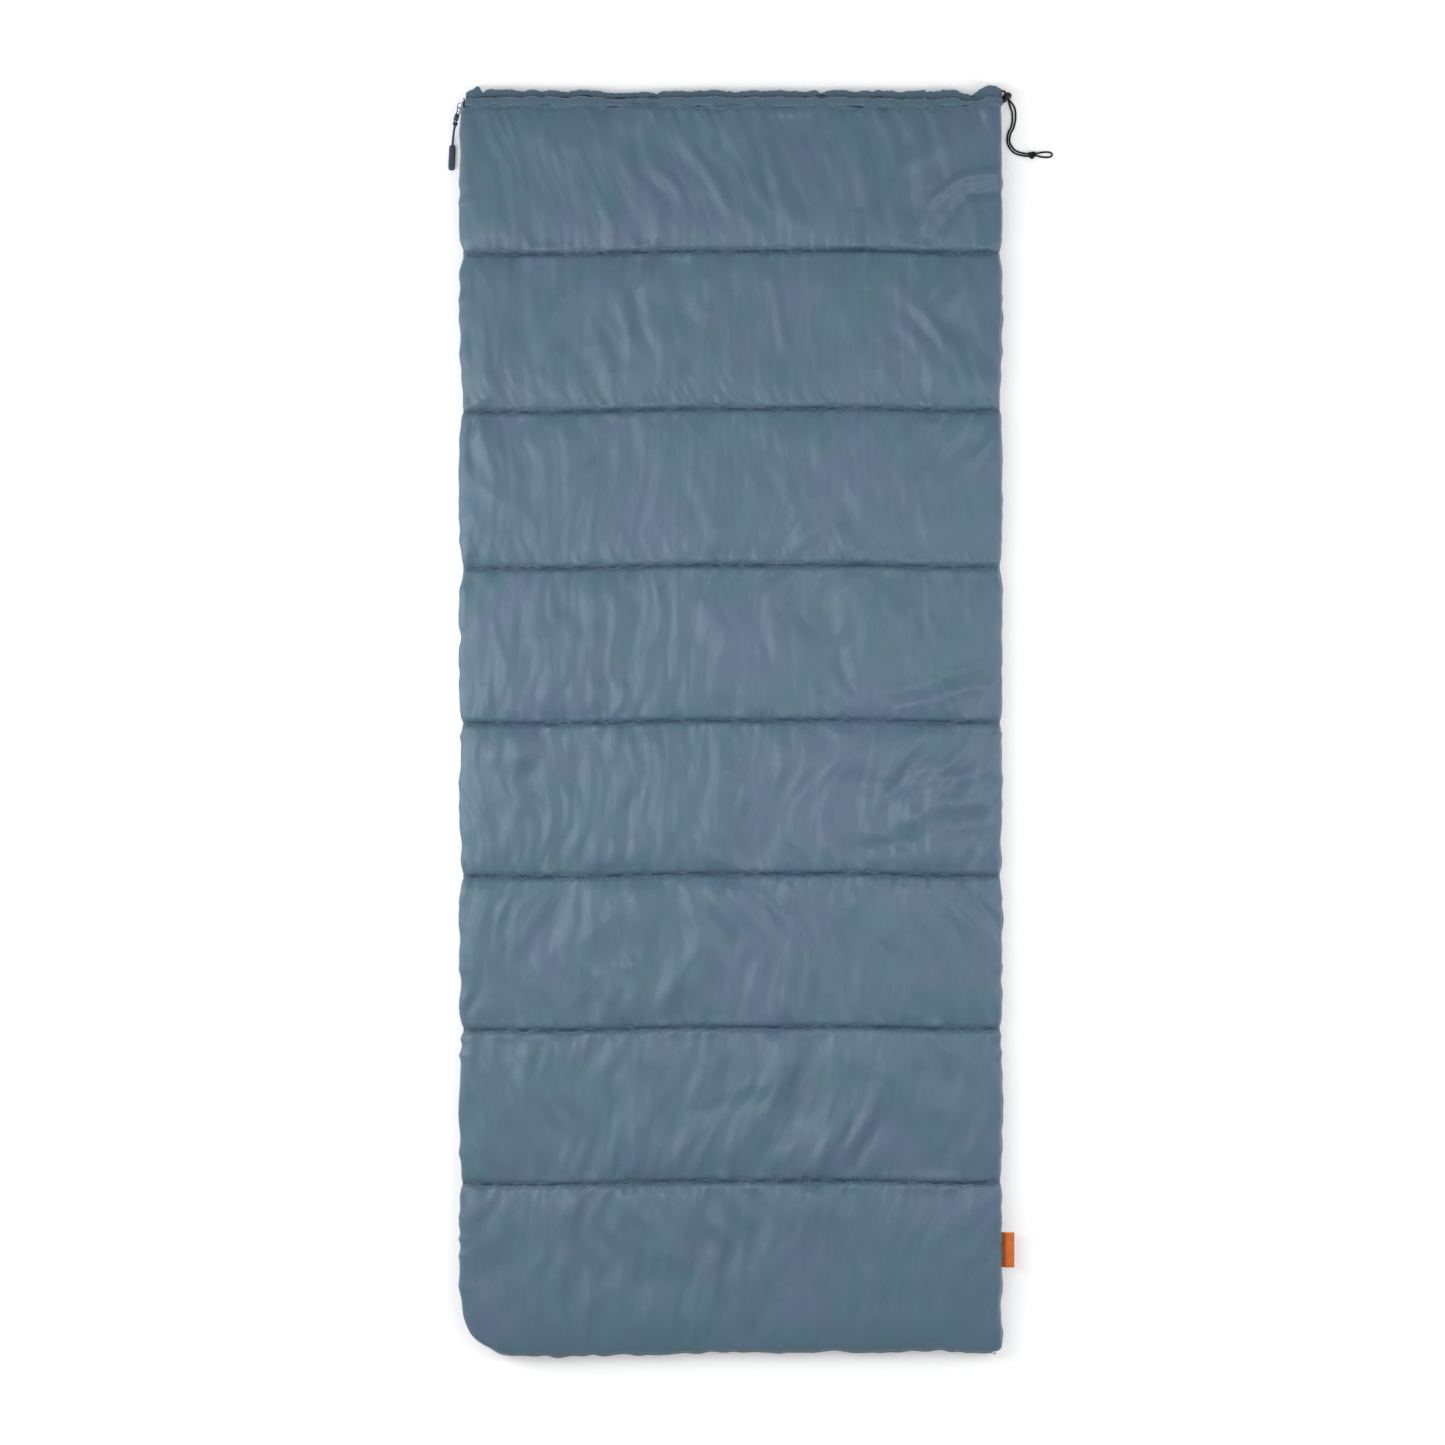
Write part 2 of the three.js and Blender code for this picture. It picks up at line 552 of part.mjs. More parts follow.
const egg = new THREE.SphereGeometry(1, 20, 12).scale(LOCK_HALF_LENGTH, LOCK_RADIUS, LOCK_RADIUS);
put('cord_lock_body', toGeometry(toSolid(egg)
  .subtract(toSolid(rod(BORE.radius, BORE.end, 2 * LOCK_HALF_LENGTH)))
  .subtract(toSolid(rod(SPRING_BORE.radius, SPRING_BORE.end, 0)))
  .subtract(cordSlot(3.9, 7.4, 0))), BLACK_PLASTIC(), lock);
put('cord_lock_button', toGeometry(toSolid(rod(SHANK_RADIUS, SHANK.inner, SHANK.outer))
  .add(toSolid(rod(HEAD.radius, SHANK.outer, SHANK.outer + HEAD.thickness)))
  .subtract(cordSlot(5.4, 7.2, 0.8))), BLACK_PLASTIC(), lock);

// A coil spring between the blind end of the bore and the button's shank.
const SPRING = { turns: 2.5, radius: 2.3, wire: 0.25, from: SPRING_BORE.end + 0.55, to: SHANK.inner - 0.55 };
class Helix extends THREE.Curve {
  getPoint(t, target = new THREE.Vector3()) {
    const angle = 2 * Math.PI * SPRING.turns * t;
    return target.set(SPRING.from + t * (SPRING.to - SPRING.from),
      SPRING.radius * Math.cos(angle), SPRING.radius * Math.sin(angle));
  }
}
put('cord_lock_spring', tube(new Helix(), SPRING.wire, 26, 5), STEEL(), lock);

export default bag;
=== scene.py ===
"""Looks of the rectangular sleeping bag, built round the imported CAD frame.

Metres, in the frame's axes: +Y to the head end, +X to the folded side, +Z up, floor at z = 0.
"""
import math

import bpy
import numpy as np
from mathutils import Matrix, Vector


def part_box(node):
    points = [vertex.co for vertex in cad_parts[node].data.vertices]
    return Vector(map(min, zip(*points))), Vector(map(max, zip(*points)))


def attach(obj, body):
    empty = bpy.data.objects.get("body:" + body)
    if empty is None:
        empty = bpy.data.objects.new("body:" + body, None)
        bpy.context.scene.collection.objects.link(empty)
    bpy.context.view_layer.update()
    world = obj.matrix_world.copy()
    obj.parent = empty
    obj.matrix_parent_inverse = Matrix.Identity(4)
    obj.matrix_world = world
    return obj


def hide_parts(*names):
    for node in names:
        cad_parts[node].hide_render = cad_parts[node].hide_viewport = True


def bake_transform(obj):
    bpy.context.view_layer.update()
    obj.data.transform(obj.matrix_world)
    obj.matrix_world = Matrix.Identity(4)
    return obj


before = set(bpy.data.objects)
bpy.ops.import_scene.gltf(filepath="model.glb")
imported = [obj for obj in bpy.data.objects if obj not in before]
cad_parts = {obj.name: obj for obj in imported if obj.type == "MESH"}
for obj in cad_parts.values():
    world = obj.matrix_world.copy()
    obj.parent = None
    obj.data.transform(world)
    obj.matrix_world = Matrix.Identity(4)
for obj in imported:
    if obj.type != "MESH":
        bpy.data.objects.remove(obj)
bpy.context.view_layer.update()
MM = 0.001
SEED = 20

# ---- places taken from the frame

SHELL_LOW, SHELL_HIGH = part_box("top_shell")
BASE_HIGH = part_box("bottom_shell")[1]
SEAMS = sorted(sum(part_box(f"top_quilt_thread_{i}"), Vector()).y / 2 for i in range(1, 8))
MID_HEIGHT = (SHELL_LOW.z + BASE_HIGH.z) / 2
LOFT = SHELL_HIGH.z - SHELL_LOW.z
FOOT_Y = SHELL_LOW.y
LEFT_X, RIGHT_X = SHELL_LOW.x, SHELL_HIGH.x
LIP_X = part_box("top_zip_tape")[0].x + 1.3 * MM          # where a shell is sewn to its zip tape

# ---- driving sizes of the looks

FINE_GRID, GRID = 6.5 * MM, 9 * MM      # spacing of the simulated cloth: upper shell, and the others
SPLIT = 0.5                             # spacing of the finished cloth, as a share of the simulated
FOOT_CORNER = (98 * MM, 78 * MM)        # round corner on the zip side: reach across, reach along
SIDE_CORNER = 10 * MM                   # rounding of the foot corner on the fold side
SEAM_LOFT, FOOT_LOFT, HEM_LOFT = 9 * MM, 6 * MM, 11 * MM            # thickness of a quilt where sewn
SEAM_REACH, FOOT_REACH, HEM_REACH = 62 * MM, 60 * MM, 45 * MM       # how far from there it is full
CROWN = 0.76 * LOFT                     # full thickness before the cloth swells
SWELL_LIMIT = LOFT + 6 * MM             # and the most after it
SHOULDER = 40 * MM                      # how far the rounded side of a full quilt reaches in
PINCH = 6 * MM                          # how far the sides pull in at each seam
HEAD_TUCK = 2.5 * MM                    # how far the shell's cloth runs under the hem
HEAD_GATHER = 1.4                       # gathers at the draw-cord hem, against those at a seam
GATHER_PITCH, PLEAT_PITCH = 5.2 * MM, 13 * MM       # spacing of the fine and the broad gathers
GATHER_DEPTH, PLEAT_DEPTH = 1.7 * MM, 1.5 * MM      # and their heights
GATHER_RUN = (12 * MM, 9 * MM)          # how far they run out: the least, and what is added at random
CRUMPLE = 1.6 * MM                      # height of the cloth's small sharp creases
FOOT_BOW = (-4 * MM, 2.5 * MM)          # how far the foot edge moves: at the zip corner, at the fold
SEAM_DIP = 4 * MM                       # how far the seams dip towards the foot at the zip side
SEAM_SHADE_REACH, GATHER_MARK = 2.9 * MM, 11 * MM          # half width of the painted shade along each seam, and of the gathers
FLOOR_GAP = 0.3 * MM
STITCH_PITCH, STITCH_RADIUS = 4.2 * MM, 0.45 * MM
CORD_RADIUS, DRAWCORD_LENGTH = 1.5 * MM, 0.375
PLY_RADIUS, PLY_TURN = 0.95 * MM, 7 * MM            # the pull cord's two plies and their full turn
TOOTH_PITCH, TOOTH_WIRE, TOOTH_REACH = 2.6 * MM, 0.42 * MM, 1.2 * MM


# ---- small tools

def cloud(x, y, size, seed):
    """A seeded smooth random field over the plan, its features of about size (across, along)."""
    half = 1.4                  # the field reaches this far from the middle, in metres
    knots = np.random.default_rng(seed).standard_normal([int(2 * half / step) + 5 for step in size])
    u, v = (np.asarray(x, float) + half) / size[0], (np.asarray(y, float) + half) / size[1]
    i, j = (np.clip(np.floor(w).astype(int), 0, n - 4) for w, n in zip((u, v), knots.shape))

    def weights(t):
        return (1 - t) ** 3, 3 * t ** 3 - 6 * t ** 2 + 4, 1 + 3 * t + 3 * t ** 2 - 3 * t ** 3, t ** 3

    columns, rows = weights(u - i), weights(v - j)
    total = sum(a * b * knots[i + m, j + n] for m, a in enumerate(columns) for n, b in enumerate(rows))
    return 2.1 * total / 36


def line_noise(places, step, seed):
    """A seeded smooth random line: one value for each place, changing over about one step."""
    places = np.asarray(places, float)
    return 0.98 * cloud(places, np.zeros_like(places), (step, 1.0), seed)


def smoothstep(low, high, value):
    t = np.clip((value - low) / (high - low), 0, 1)
    return t * t * (3 - 2 * t)


def in_scene(name, data):
    """A new object in the scene with that mesh, curve, light or camera."""
    made = bpy.data.objects.new(name, data)
    bpy.context.scene.collection.objects.link(made)
    return made


def new_mesh(name, points, faces, smooth=True):
    mesh = bpy.data.meshes.new(name)
    mesh.from_pydata([tuple(p) for p in points], [], [tuple(int(i) for i in f) for f in faces])
    mesh.polygons.foreach_set("use_smooth", [smooth] * len(mesh.polygons))
    return in_scene(name, mesh)


def grid_faces(rows, columns, wrap=False, flip=False, offset=0):
    """Four-sided faces over a grid of points; wrap joins the last column to the first."""
    index = np.arange(rows * columns).reshape(rows, columns) + offset
    right = np.roll(index, -1, axis=1)
    if not wrap:
        index, right = index[:, :-1], right[:, :-1]
    corners = [index[:-1], right[:-1], right[1:], index[1:]]
    if flip:
        corners.reverse()
    return np.stack([c.ravel() for c in corners], axis=1)


def capped_faces(rows, around, flip=True, offset=0):
    """Faces of a tube made of rings of points, with both its ends closed."""
    faces = grid_faces(rows, around, wrap=True, flip=flip, offset=offset).tolist()
    first = list(range(offset, offset + around))
    last = [i + (rows - 1) * around for i in first]
    (last if flip else first).reverse()
    return faces + [first, last]


def finish_piece(piece, body, slot, finish, *nodes):
    """Material, body and the CAD nodes that the piece stands for; slot is not used."""
    piece.data.materials.clear()
    piece.data.materials.append(finish)
    if body:
        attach(piece, body)
    if nodes:
        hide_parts(*nodes)
    return piece


def cubic(p, t):
    """A smooth curve through four places in a row, at share t between the middle two."""
    return 0.5 * (2 * p[1] + (p[2] - p[0]) * t + (2 * p[0] - 5 * p[1] + 4 * p[2] - p[3]) * t ** 2
                  + (3 * p[1] - p[0] - 3 * p[2] + p[3]) * t ** 3)


def catmull(points, per_span):
    """Points along a smooth line through the given ones."""
    p = np.asarray(points, float)
    p = np.vstack([2 * p[0] - p[1], p, 2 * p[-1] - p[-2]])
    spans = range(len(p) - 3)
    return np.array([cubic(p[i:i + 4], k / per_span) for i in spans for k in range(per_span)] + [p[-2]])


def run_along(line):
    """Distance along a line to each of its points."""
    return np.concatenate([[0], np.cumsum(np.linalg.norm(np.diff(line, axis=0), axis=1))])


def points_at(line, places):
    """The points of a line that lie at the given distances along it."""
    run = run_along(line)
    return np.stack([np.interp(places, run, line[:, k]) for k in range(line.shape[1])], 1)


def resample(line, count):
    """The same line with evenly spaced points."""
    return points_at(line, np.linspace(0, run_along(line)[-1], count))


def full_turn(steps):
    """Angles of one full turn in even steps."""
    return np.linspace(0, 2 * math.pi, steps, endpoint=False)


def squared(angle, power):
    """Cosine and sine on a circle that is pushed out towards a square; power 1 leaves it round."""
    return [np.sign(w) * np.abs(w) ** power for w in (np.cos(angle), np.sin(angle))]


def line_frames(path, closed=False):
    """Two directions across a line at each point, carried along it without twisting."""
    if closed:
        ahead = np.roll(path, -1, axis=0) - np.roll(path, 1, axis=0)
    else:
        ahead = np.gradient(path, axis=0)
    ahead /= np.linalg.norm(ahead, axis=1)[:, None]
    side = np.cross(ahead[0], (0.0, 0.0, 1.0))
    if np.linalg.norm(side) < 1e-3:
        side = np.array((1.0, 0.0, 0.0))
    sides = []
    for direction in ahead:
        side = side - direction * (side @ direction)
        side /= np.linalg.norm(side)
        sides.append(side)
    return np.array(sides), np.cross(ahead, sides)


def tube_points(path, radii, around, closed=False):
    """Rings of points round a line; radii is one number, or one for each place."""
    side, up = line_frames(path, closed)
    angle = full_turn(around)[None, :, None]
    ring = np.cos(angle) * side[:, None, :] + np.sin(angle) * up[:, None, :]
    return path[:, None, :] + ring * np.broadcast_to(radii, len(path))[:, None, None]


def tube_mesh(paths, radii, around):
    """Points and faces of one or more tubes with closed ends, joined in one list."""
    points, faces, offset = [], [], 0
    for path, radius in zip(paths, radii):
        points.append(tube_points(path, radius, around).reshape(-1, 3))
        faces += capped_faces(len(path), around, offset=offset)
        offset += len(path) * around
    return np.vstack(points), faces


# ---- materials

class Finish:
    """A node material built step by step round a Principled shader."""

    def __init__(self, name, colour, roughness, metallic=0.0):
        self.material = bpy.data.materials.new(name)
        self.material.use_nodes = True
        self.tree = self.material.node_tree
        self.shader = self.tree.nodes["Principled BSDF"]
        self.shader.inputs["Base Color"].default_value = (*colour, 1)
        self.shader.inputs["Roughness"].default_value = roughness
        self.shader.inputs["Metallic"].default_value = metallic
        self.colour = self.tree.nodes.new("ShaderNodeRGB").outputs[0]
        self.colour.default_value = (*colour, 1)
        self.link(self.colour, self.shader.inputs["Base Color"])
        self.normal = None
        self.coordinates = self.tree.nodes.new("ShaderNodeTexCoord").outputs["Object"]

    def link(self, source, target):
        self.tree.links.new(source, target)

    def node(self, kind, inputs=None, **settings):
        """A new node; each of its inputs is given a value or another node's output."""
        made = self.tree.nodes.new(kind)
        for name, value in settings.items():
            setattr(made, name, value)
        for name, value in (inputs or {}).items():
            if isinstance(value, bpy.types.NodeSocket):
                self.link(value, made.inputs[name])
            else:
                made.inputs[name].default_value = value
        return made

    def mapped(self, scale=(1, 1, 1), turn=(0, 0, 0)):
        inputs = {"Scale": scale, "Rotation": turn, "Vector": self.coordinates}
        return self.node("ShaderNodeMapping", inputs).outputs["Vector"]

    def noise(self, size, detail, scale=(1, 1, 1), distortion=0.0):
        """Noise from 0 to 1 with features of about size metres."""
        inputs = {"Scale": 1 / size, "Detail": detail, "Distortion": distortion,
                  "Vector": self.mapped(scale)}
        return self.node("ShaderNodeTexNoise", inputs).outputs["Fac"]

    def wave(self, pitch, direction, turn=(0, 0, 0)):
        """Even ridges from 0 to 1 with that pitch in metres."""
        inputs = {"Scale": math.pi / 10 / pitch, "Distortion": 0.0, "Vector": self.mapped(turn=turn)}
        return self.node("ShaderNodeTexWave", inputs, bands_direction=direction).outputs["Fac"]

    def times(self, first, second):
        return self.node("ShaderNodeMath", {0: first, 1: second}, operation="MULTIPLY").outputs[0]

    def ramp(self, value, low, high):
        inputs = {"Value": value, "From Min": low, "From Max": high}
        return self.node("ShaderNodeMapRange", inputs, interpolation_type="SMOOTHSTEP").outputs["Result"]

    def attribute(self, name):
        return self.node("ShaderNodeAttribute", attribute_name=name).outputs["Fac"]

    def tint(self, colour, share):
        """Mixes a colour over what is there; share is a number or a texture."""
        factor, below, above = 0, 6, 7          # the mix node's inputs that a colour uses
        inputs = {factor: share, below: self.colour, above: (*colour, 1)}
        self.colour = self.node("ShaderNodeMix", inputs, data_type="RGBA").outputs[2]
        self.link(self.colour, self.shader.inputs["Base Color"])

    def mottle(self, colour, size, detail, low, high, share):
        """Mixes a colour over soft patches of about size metres, where the noise nears high."""
        self.tint(colour, self.times(self.ramp(self.noise(size, detail), low, high), share))

    def rough(self, value, low, high):
        """Roughness from low to high, as the texture says."""
        spread = self.node("ShaderNodeMapRange", {"Value": value, "To Min": low, "To Max": high})
        self.link(spread.outputs["Result"], self.shader.inputs["Roughness"])

    def relief(self, value, depth, strength):
        """Adds a bump that deep, in metres."""
        inputs = {"Height": value, "Strength": strength, "Distance": depth}
        if self.normal is not None:
            inputs["Normal"] = self.normal
        self.normal = self.node("ShaderNodeBump", inputs).outputs["Normal"]
        self.link(self.normal, self.shader.inputs["Normal"])

    def sheen(self, weight, roughness=0.4, tint=(1, 1, 1)):
        self.shader.inputs["Sheen Weight"].default_value = weight
        self.shader.inputs["Sheen Roughness"].default_value = roughness
        self.shader.inputs["Sheen Tint"].default_value = (*tint, 1)


def shaded(colour, factor):
    return tuple(min(1.0, c * factor) for c in colour)


BLUE_GREY = (0.0645, 0.121, 0.172)      # the cloth, the two tones it plays into, and the painted shade in its seams and gathers
VIOLET_GREY = (0.081, 0.118, 0.19)
GREEN_GREY = (0.056, 0.126, 0.158)
SEAM_SHADE_BLUE = (0.022, 0.052, 0.095)


def satin_cloth(name, colour):
    """Thin calendered polyester: fine plain weave, satin gloss, soft mottling, painted highlights on its
    streak folds, painted shade in its seams and in the gathers' valleys.
    """
    finish = Finish(name, colour, 0.42)
    finish.shader.inputs["Specular IOR Level"].default_value = 0.5
    finish.mottle(shaded(colour, 1.2), 0.09, 4, 0.45, 0.75, 0.55)
    finish.mottle(shaded(colour, 0.82), 0.05, 4, 0.5, 0.8, 0.5)
    finish.mottle(VIOLET_GREY, 0.12, 3, 0.5, 0.68, 0.75)
    finish.mottle(GREEN_GREY, 0.08, 3, 0.48, 0.36, 0.6)
    highlit_streak_folds = finish.noise(0.010, 4, scale=(1.0, 0.22, 1.0), distortion=0.6)
    # painted highlight: lighter colour on the ridges of the streak folds
    finish.tint(shaded(colour, 1.25), finish.times(finish.ramp(highlit_streak_folds, 0.55, 0.8), 0.35))
    # painted shade: darker blue in the grooves along the seams
    finish.tint(SEAM_SHADE_BLUE, finish.times(finish.attribute("seam_shade_share"), 0.95))
    finish.rough(finish.noise(0.03, 3), 0.34, 0.52)
    weave = 0.5 * MM
    finish.relief(finish.times(finish.wave(weave, "X"), finish.wave(weave, "Y")), 0.05 * MM, 0.35)
    finish.relief(highlit_streak_folds, 1.1 * MM, 0.6)
    finish.relief(finish.noise(0.004, 3), 0.15 * MM, 0.35)
    gathers = finish.noise(0.0042, 3, scale=(1.0, 0.2, 1.0), distortion=0.4)
    near = finish.attribute("gather_share")
    finish.relief(finish.times(gathers, near), 2.4 * MM, 0.9)
    # painted shade: darker blue in the valleys of the gathers near the seams
    valley_shade = finish.times(finish.ramp(gathers, 0.45, 0.3), 0.5)
    finish.tint(shaded(SEAM_SHADE_BLUE, 1.5), finish.times(near, valley_shade))
    finish.sheen(0.25, 0.35, (0.8, 0.9, 1.0))
    return finish.material


def thread_finish(name, colour):
    """Spun polyester thread: twisted, slightly fuzzy."""
    finish = Finish(name, colour, 0.6)
    twist = 0.5 * MM
    finish.relief(finish.wave(twist, "DIAGONAL"), 0.1 * MM, 0.6)
    finish.tint(shaded(colour, 1.6), finish.times(finish.noise(0.002, 2), 0.4))
    finish.sheen(0.3)
    return finish.material


def label_finish(name, colour):
    """Dense damask weave: fine warp ribs, slight fading, soft sheen."""
    finish = Finish(name, colour, 0.62)
    ribs = finish.times(finish.wave(0.45 * MM, "Y"), finish.wave(0.7 * MM, "X"))
    finish.relief(ribs, 0.12 * MM, 0.8)
    finish.mottle(shaded(colour, 0.72), 0.012, 4, 0.45, 0.7, 0.5)
    finish.tint(shaded(colour, 0.8), finish.times(finish.wave(0.9 * MM, "Y"), 0.35))
    finish.sheen(0.15)
    return finish.material


def tape_finish(name, colour):
    """Woven zip tape: close ribs along it."""
    finish = Finish(name, colour, 0.75)
    ribs = finish.times(finish.wave(0.6 * MM, "Z"), finish.wave(0.9 * MM, "Y"))
    finish.relief(ribs, 0.15 * MM, 0.6)
    finish.tint(shaded(colour, 0.7), finish.times(finish.noise(0.006, 3), 0.5))
    finish.sheen(0.2)
    return finish.material


def moulded_finish(name, colour, roughness, grain=0.0008, depth=0.03 * MM):
    """Moulded plastic or rubber: fine grain, dust in the grain, slight gloss changes."""
    finish = Finish(name, colour, roughness)
    finish.relief(finish.noise(grain, 2), depth, 0.5)
    finish.rough(finish.noise(0.006, 3), roughness - 0.08, roughness + 0.12)
    finish.mottle(shaded(colour, 1.7), 0.004, 4, 0.5, 0.8, 0.4)
    return finish.material


def painted_metal(name, colour):
    """Die-cast metal under thin lacquer, rubbed at its raised edges."""
    finish = Finish(name, colour, 0.34, 0.75)
    edge = finish.node("ShaderNodeNewGeometry").outputs["Pointiness"]
    finish.tint((0.45, 0.48, 0.52), finish.times(finish.ramp(edge, 0.52, 0.6), 0.6))
    finish.rough(finish.noise(0.003, 4), 0.25, 0.5)
    finish.relief(finish.noise(0.0012, 3), 0.03 * MM, 0.4)
    return finish.material


def cord_finish(name, colour):
    """Braided polyester cord: crossing diagonal plaits, with painted highlights on their raised crowns."""
    finish = Finish(name, colour, 0.7)
    pitch = 1.2 * MM
    braid = finish.times(finish.wave(pitch, "DIAGONAL"), finish.wave(pitch, "DIAGONAL", (0, 0, math.pi / 2)))
    finish.relief(braid, 0.25 * MM, 0.8)
    # painted highlight: lighter colour on the raised crowns of the plaits
    finish.tint(shaded(colour, 2.0), finish.times(braid, 0.35))
    finish.shader.inputs["Specular IOR Level"].default_value = 0.3
    finish.sheen(0.06)
    return finish.material


SHELL_CLOTH = satin_cloth("shell_satin", BLUE_GREY)
LINER_CLOTH = satin_cloth("liner_satin", shaded(BLUE_GREY, 0.93))
THREAD = thread_finish("quilting_thread", (0.03, 0.065, 0.11))
TAPE = tape_finish("zip_tape_weave", (0.05, 0.085, 0.12))
TEETH = moulded_finish("zip_teeth_nylon", (0.045, 0.075, 0.105), 0.4)
METAL = painted_metal("slider_metal", (0.16, 0.2, 0.24))
NAVY_CORD = cord_finish("pull_cord_braid", (0.024, 0.047, 0.095))
NAVY_RUBBER = moulded_finish("pull_rubber", (0.022, 0.046, 0.092), 0.5)
BLACK_CORD = cord_finish("drawcord_braid", (0.004, 0.004, 0.0045))
BLACK_PLASTIC = moulded_finish("cord_lock_plastic", (0.005, 0.005, 0.0055), 0.42)
ORANGE = label_finish("label_weave", (0.66, 0.14, 0.012))
STEEL = painted_metal("spring_steel", (0.5, 0.5, 0.5))
FLOOR = moulded_finish("studio_floor", (0.93, 0.93, 0.93), 0.7, 0.02, 0.01 * MM)


# ---- camera, floor and light

def set_camera():
    """Straight down on the bag, the head end up in the picture, as the photograph shows it."""
    lens = bpy.data.cameras.new("camera")
    height, seen, aim = 6.0, 2.229, (-12.3 * MM, -3.1 * MM)
    lens.sensor_width = 36
    lens.lens = lens.sensor_width * height / seen
    camera = in_scene("camera", lens)
    camera.location = (*aim, height + MID_HEIGHT)
    bpy.context.scene.camera = camera


def add_area(name, place, aim, size, power):
    light = bpy.data.lights.new(name, "AREA")
    light.shape = "RECTANGLE"
    light.size, light.size_y = size
    light.energy = power
    lamp = in_scene(name, light)
    lamp.location = place
    lamp.rotation_euler = (Vector(place) - Vector(aim)).to_track_quat("Z", "Y").to_euler()


def set_studio():
    """A large white floor, lit from under so that shadows on it are faint, and soft light on the bag."""
    reach, floor_glow, dome_light = 12, 0.15, 0.6
    corners = [(-reach, -reach, 0), (reach, -reach, 0), (reach, reach, 0), (-reach, reach, 0)]
    floor = new_mesh("studio_floor", corners, [(0, 1, 2, 3)], smooth=False)
    floor.data.materials.append(FLOOR)
    glow = FLOOR.node_tree.nodes["Principled BSDF"].inputs
    glow["Emission Color"].default_value = (1, 1, 1, 1)
    glow["Emission Strength"].default_value = floor_glow
    world = bpy.data.worlds.new("studio_dome")
    world.use_nodes = True
    world.node_tree.nodes["Background"].inputs["Color"].default_value = (1, 1, 1, 1)
    world.node_tree.nodes["Background"].inputs["Strength"].default_value = dome_light
    bpy.context.scene.world = world
    add_area("key_panel", (-1.8, 0.1, 1.3), (0, 0, 0), (0.8, 4.8), 54)
    add_area("fill_panel", (1.8, -0.05, 1.6), (0, -0.05, 0), (0.8, 4.6), 29)
    bpy.context.scene.view_settings.view_transform = "Standard"


# ---- cords

# Lines of the cords in millimetres, as the CAD lays them: from each hem through the lock to the knot.
LOWER_STRAND = [
    (417.2, 970.3, 20.2), (418.8, 971.4, 19.9), (421.2, 973.0, 18.0), (423.2, 973.0, 14.4),
    (424.98, 971.12, 10.64), (427.5, 966.8, 7.34), (429.9, 962.7, 4.2), (431.7, 957.4, 1.9),
    (434.1, 949.8, 1.7), (436.6, 941.5, 1.7), (437.0, 930.5, 1.7), (435.0, 919.8, 1.7),
    (430.8, 911.4, 1.7), (428.9, 899.6, 1.7), (431.4, 889.6, 1.7), (439.4, 879.9, 1.8),
    (449.6, 876.0, 2.4), (459.8, 874.2, 4.2),
]
UPPER_STRAND = [
    (417.2, 951.5, 40), (421.4, 952.6, 39.3), (424.9, 956.6, 35.8), (425.8, 962.5, 30.3),
    (425.2, 968.0, 24.4), (424.9, 970.6, 18.7), (425.98, 969.52, 13.56), (428.5, 965.2, 10.26),
    (431.3, 960.9, 7.1), (435.4, 957.0, 4.0), (440.2, 949.8, 1.9), (441.9, 941.0, 1.7),
    (441.5, 929.6, 1.7), (438.8, 918.3, 1.7), (434.4, 909.6, 1.7), (432.6, 899.4, 1.7),
    (434.9, 891.6, 1.7), (441.6, 883.6, 1.8), (450.4, 879.8, 2.4), (459.8, 877.9, 4.2),
]
LOOP = [
    (474.6, 874.9, 4.2), (481, 873.4, 2.2), (489, 872.8, 1.7), (494.6, 873.1, 1.7),
    (497.6, 874.7, 1.7), (498.5, 876.8, 1.7), (497.6, 878.9, 1.7), (494.6, 880.5, 1.7),
    (489, 880.8, 1.7), (481, 880.2, 2.2), (474.6, 878.5, 4.2),
]
# The pull cord from the knot to the grip, and the slot in the puller tab that its bight goes through.
PULL_ROUTE = [
    (-425.6, 918.4, 24.6), (-426.2, 915.9, 23.4), (-427.4, 911, 19.6), (-428.8, 904.5, 12.6),
    (-429.9, 898.4, 6.6), (-430.4, 892.6, 5.1), (-430.5, 887.5, 4.3),
]
TAB = {"pivot": (-417.9 * MM, 945 * MM, 30 * MM), "lean": math.radians(18), "tilt": math.radians(45),
       "slot": 17.6 * MM}


def knot_mesh(name, node, radius):
    """An overhand knot in a CAD node's place: a three-lobed closed run of cord, pulled tight."""
    low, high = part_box(node)
    centre, sizes = (low + high) / 2, (high - low) / 2
    t = full_turn(90)
    lobes = np.stack([np.sin(t) + 2 * np.sin(2 * t), np.cos(t) - 2 * np.cos(2 * t), -np.sin(3 * t)], 1)
    path = np.asarray(centre) + lobes / (3, 3, 1) * (np.asarray(sizes) - radius)
    rings = tube_points(path, radius, 10, closed=True)
    rings = np.concatenate([rings, rings[:1]])
    # the carried frame does not meet itself after one round, so the last ring is turned to fit
    turn = np.argmin([np.linalg.norm(np.roll(rings[0], k, axis=0) - rings[-2]) for k in range(10)])
    rings[-1] = np.roll(rings[0], turn, axis=0)
    return new_mesh(name, rings.reshape(-1, 3), grid_faces(len(rings), 10, wrap=True, flip=True))


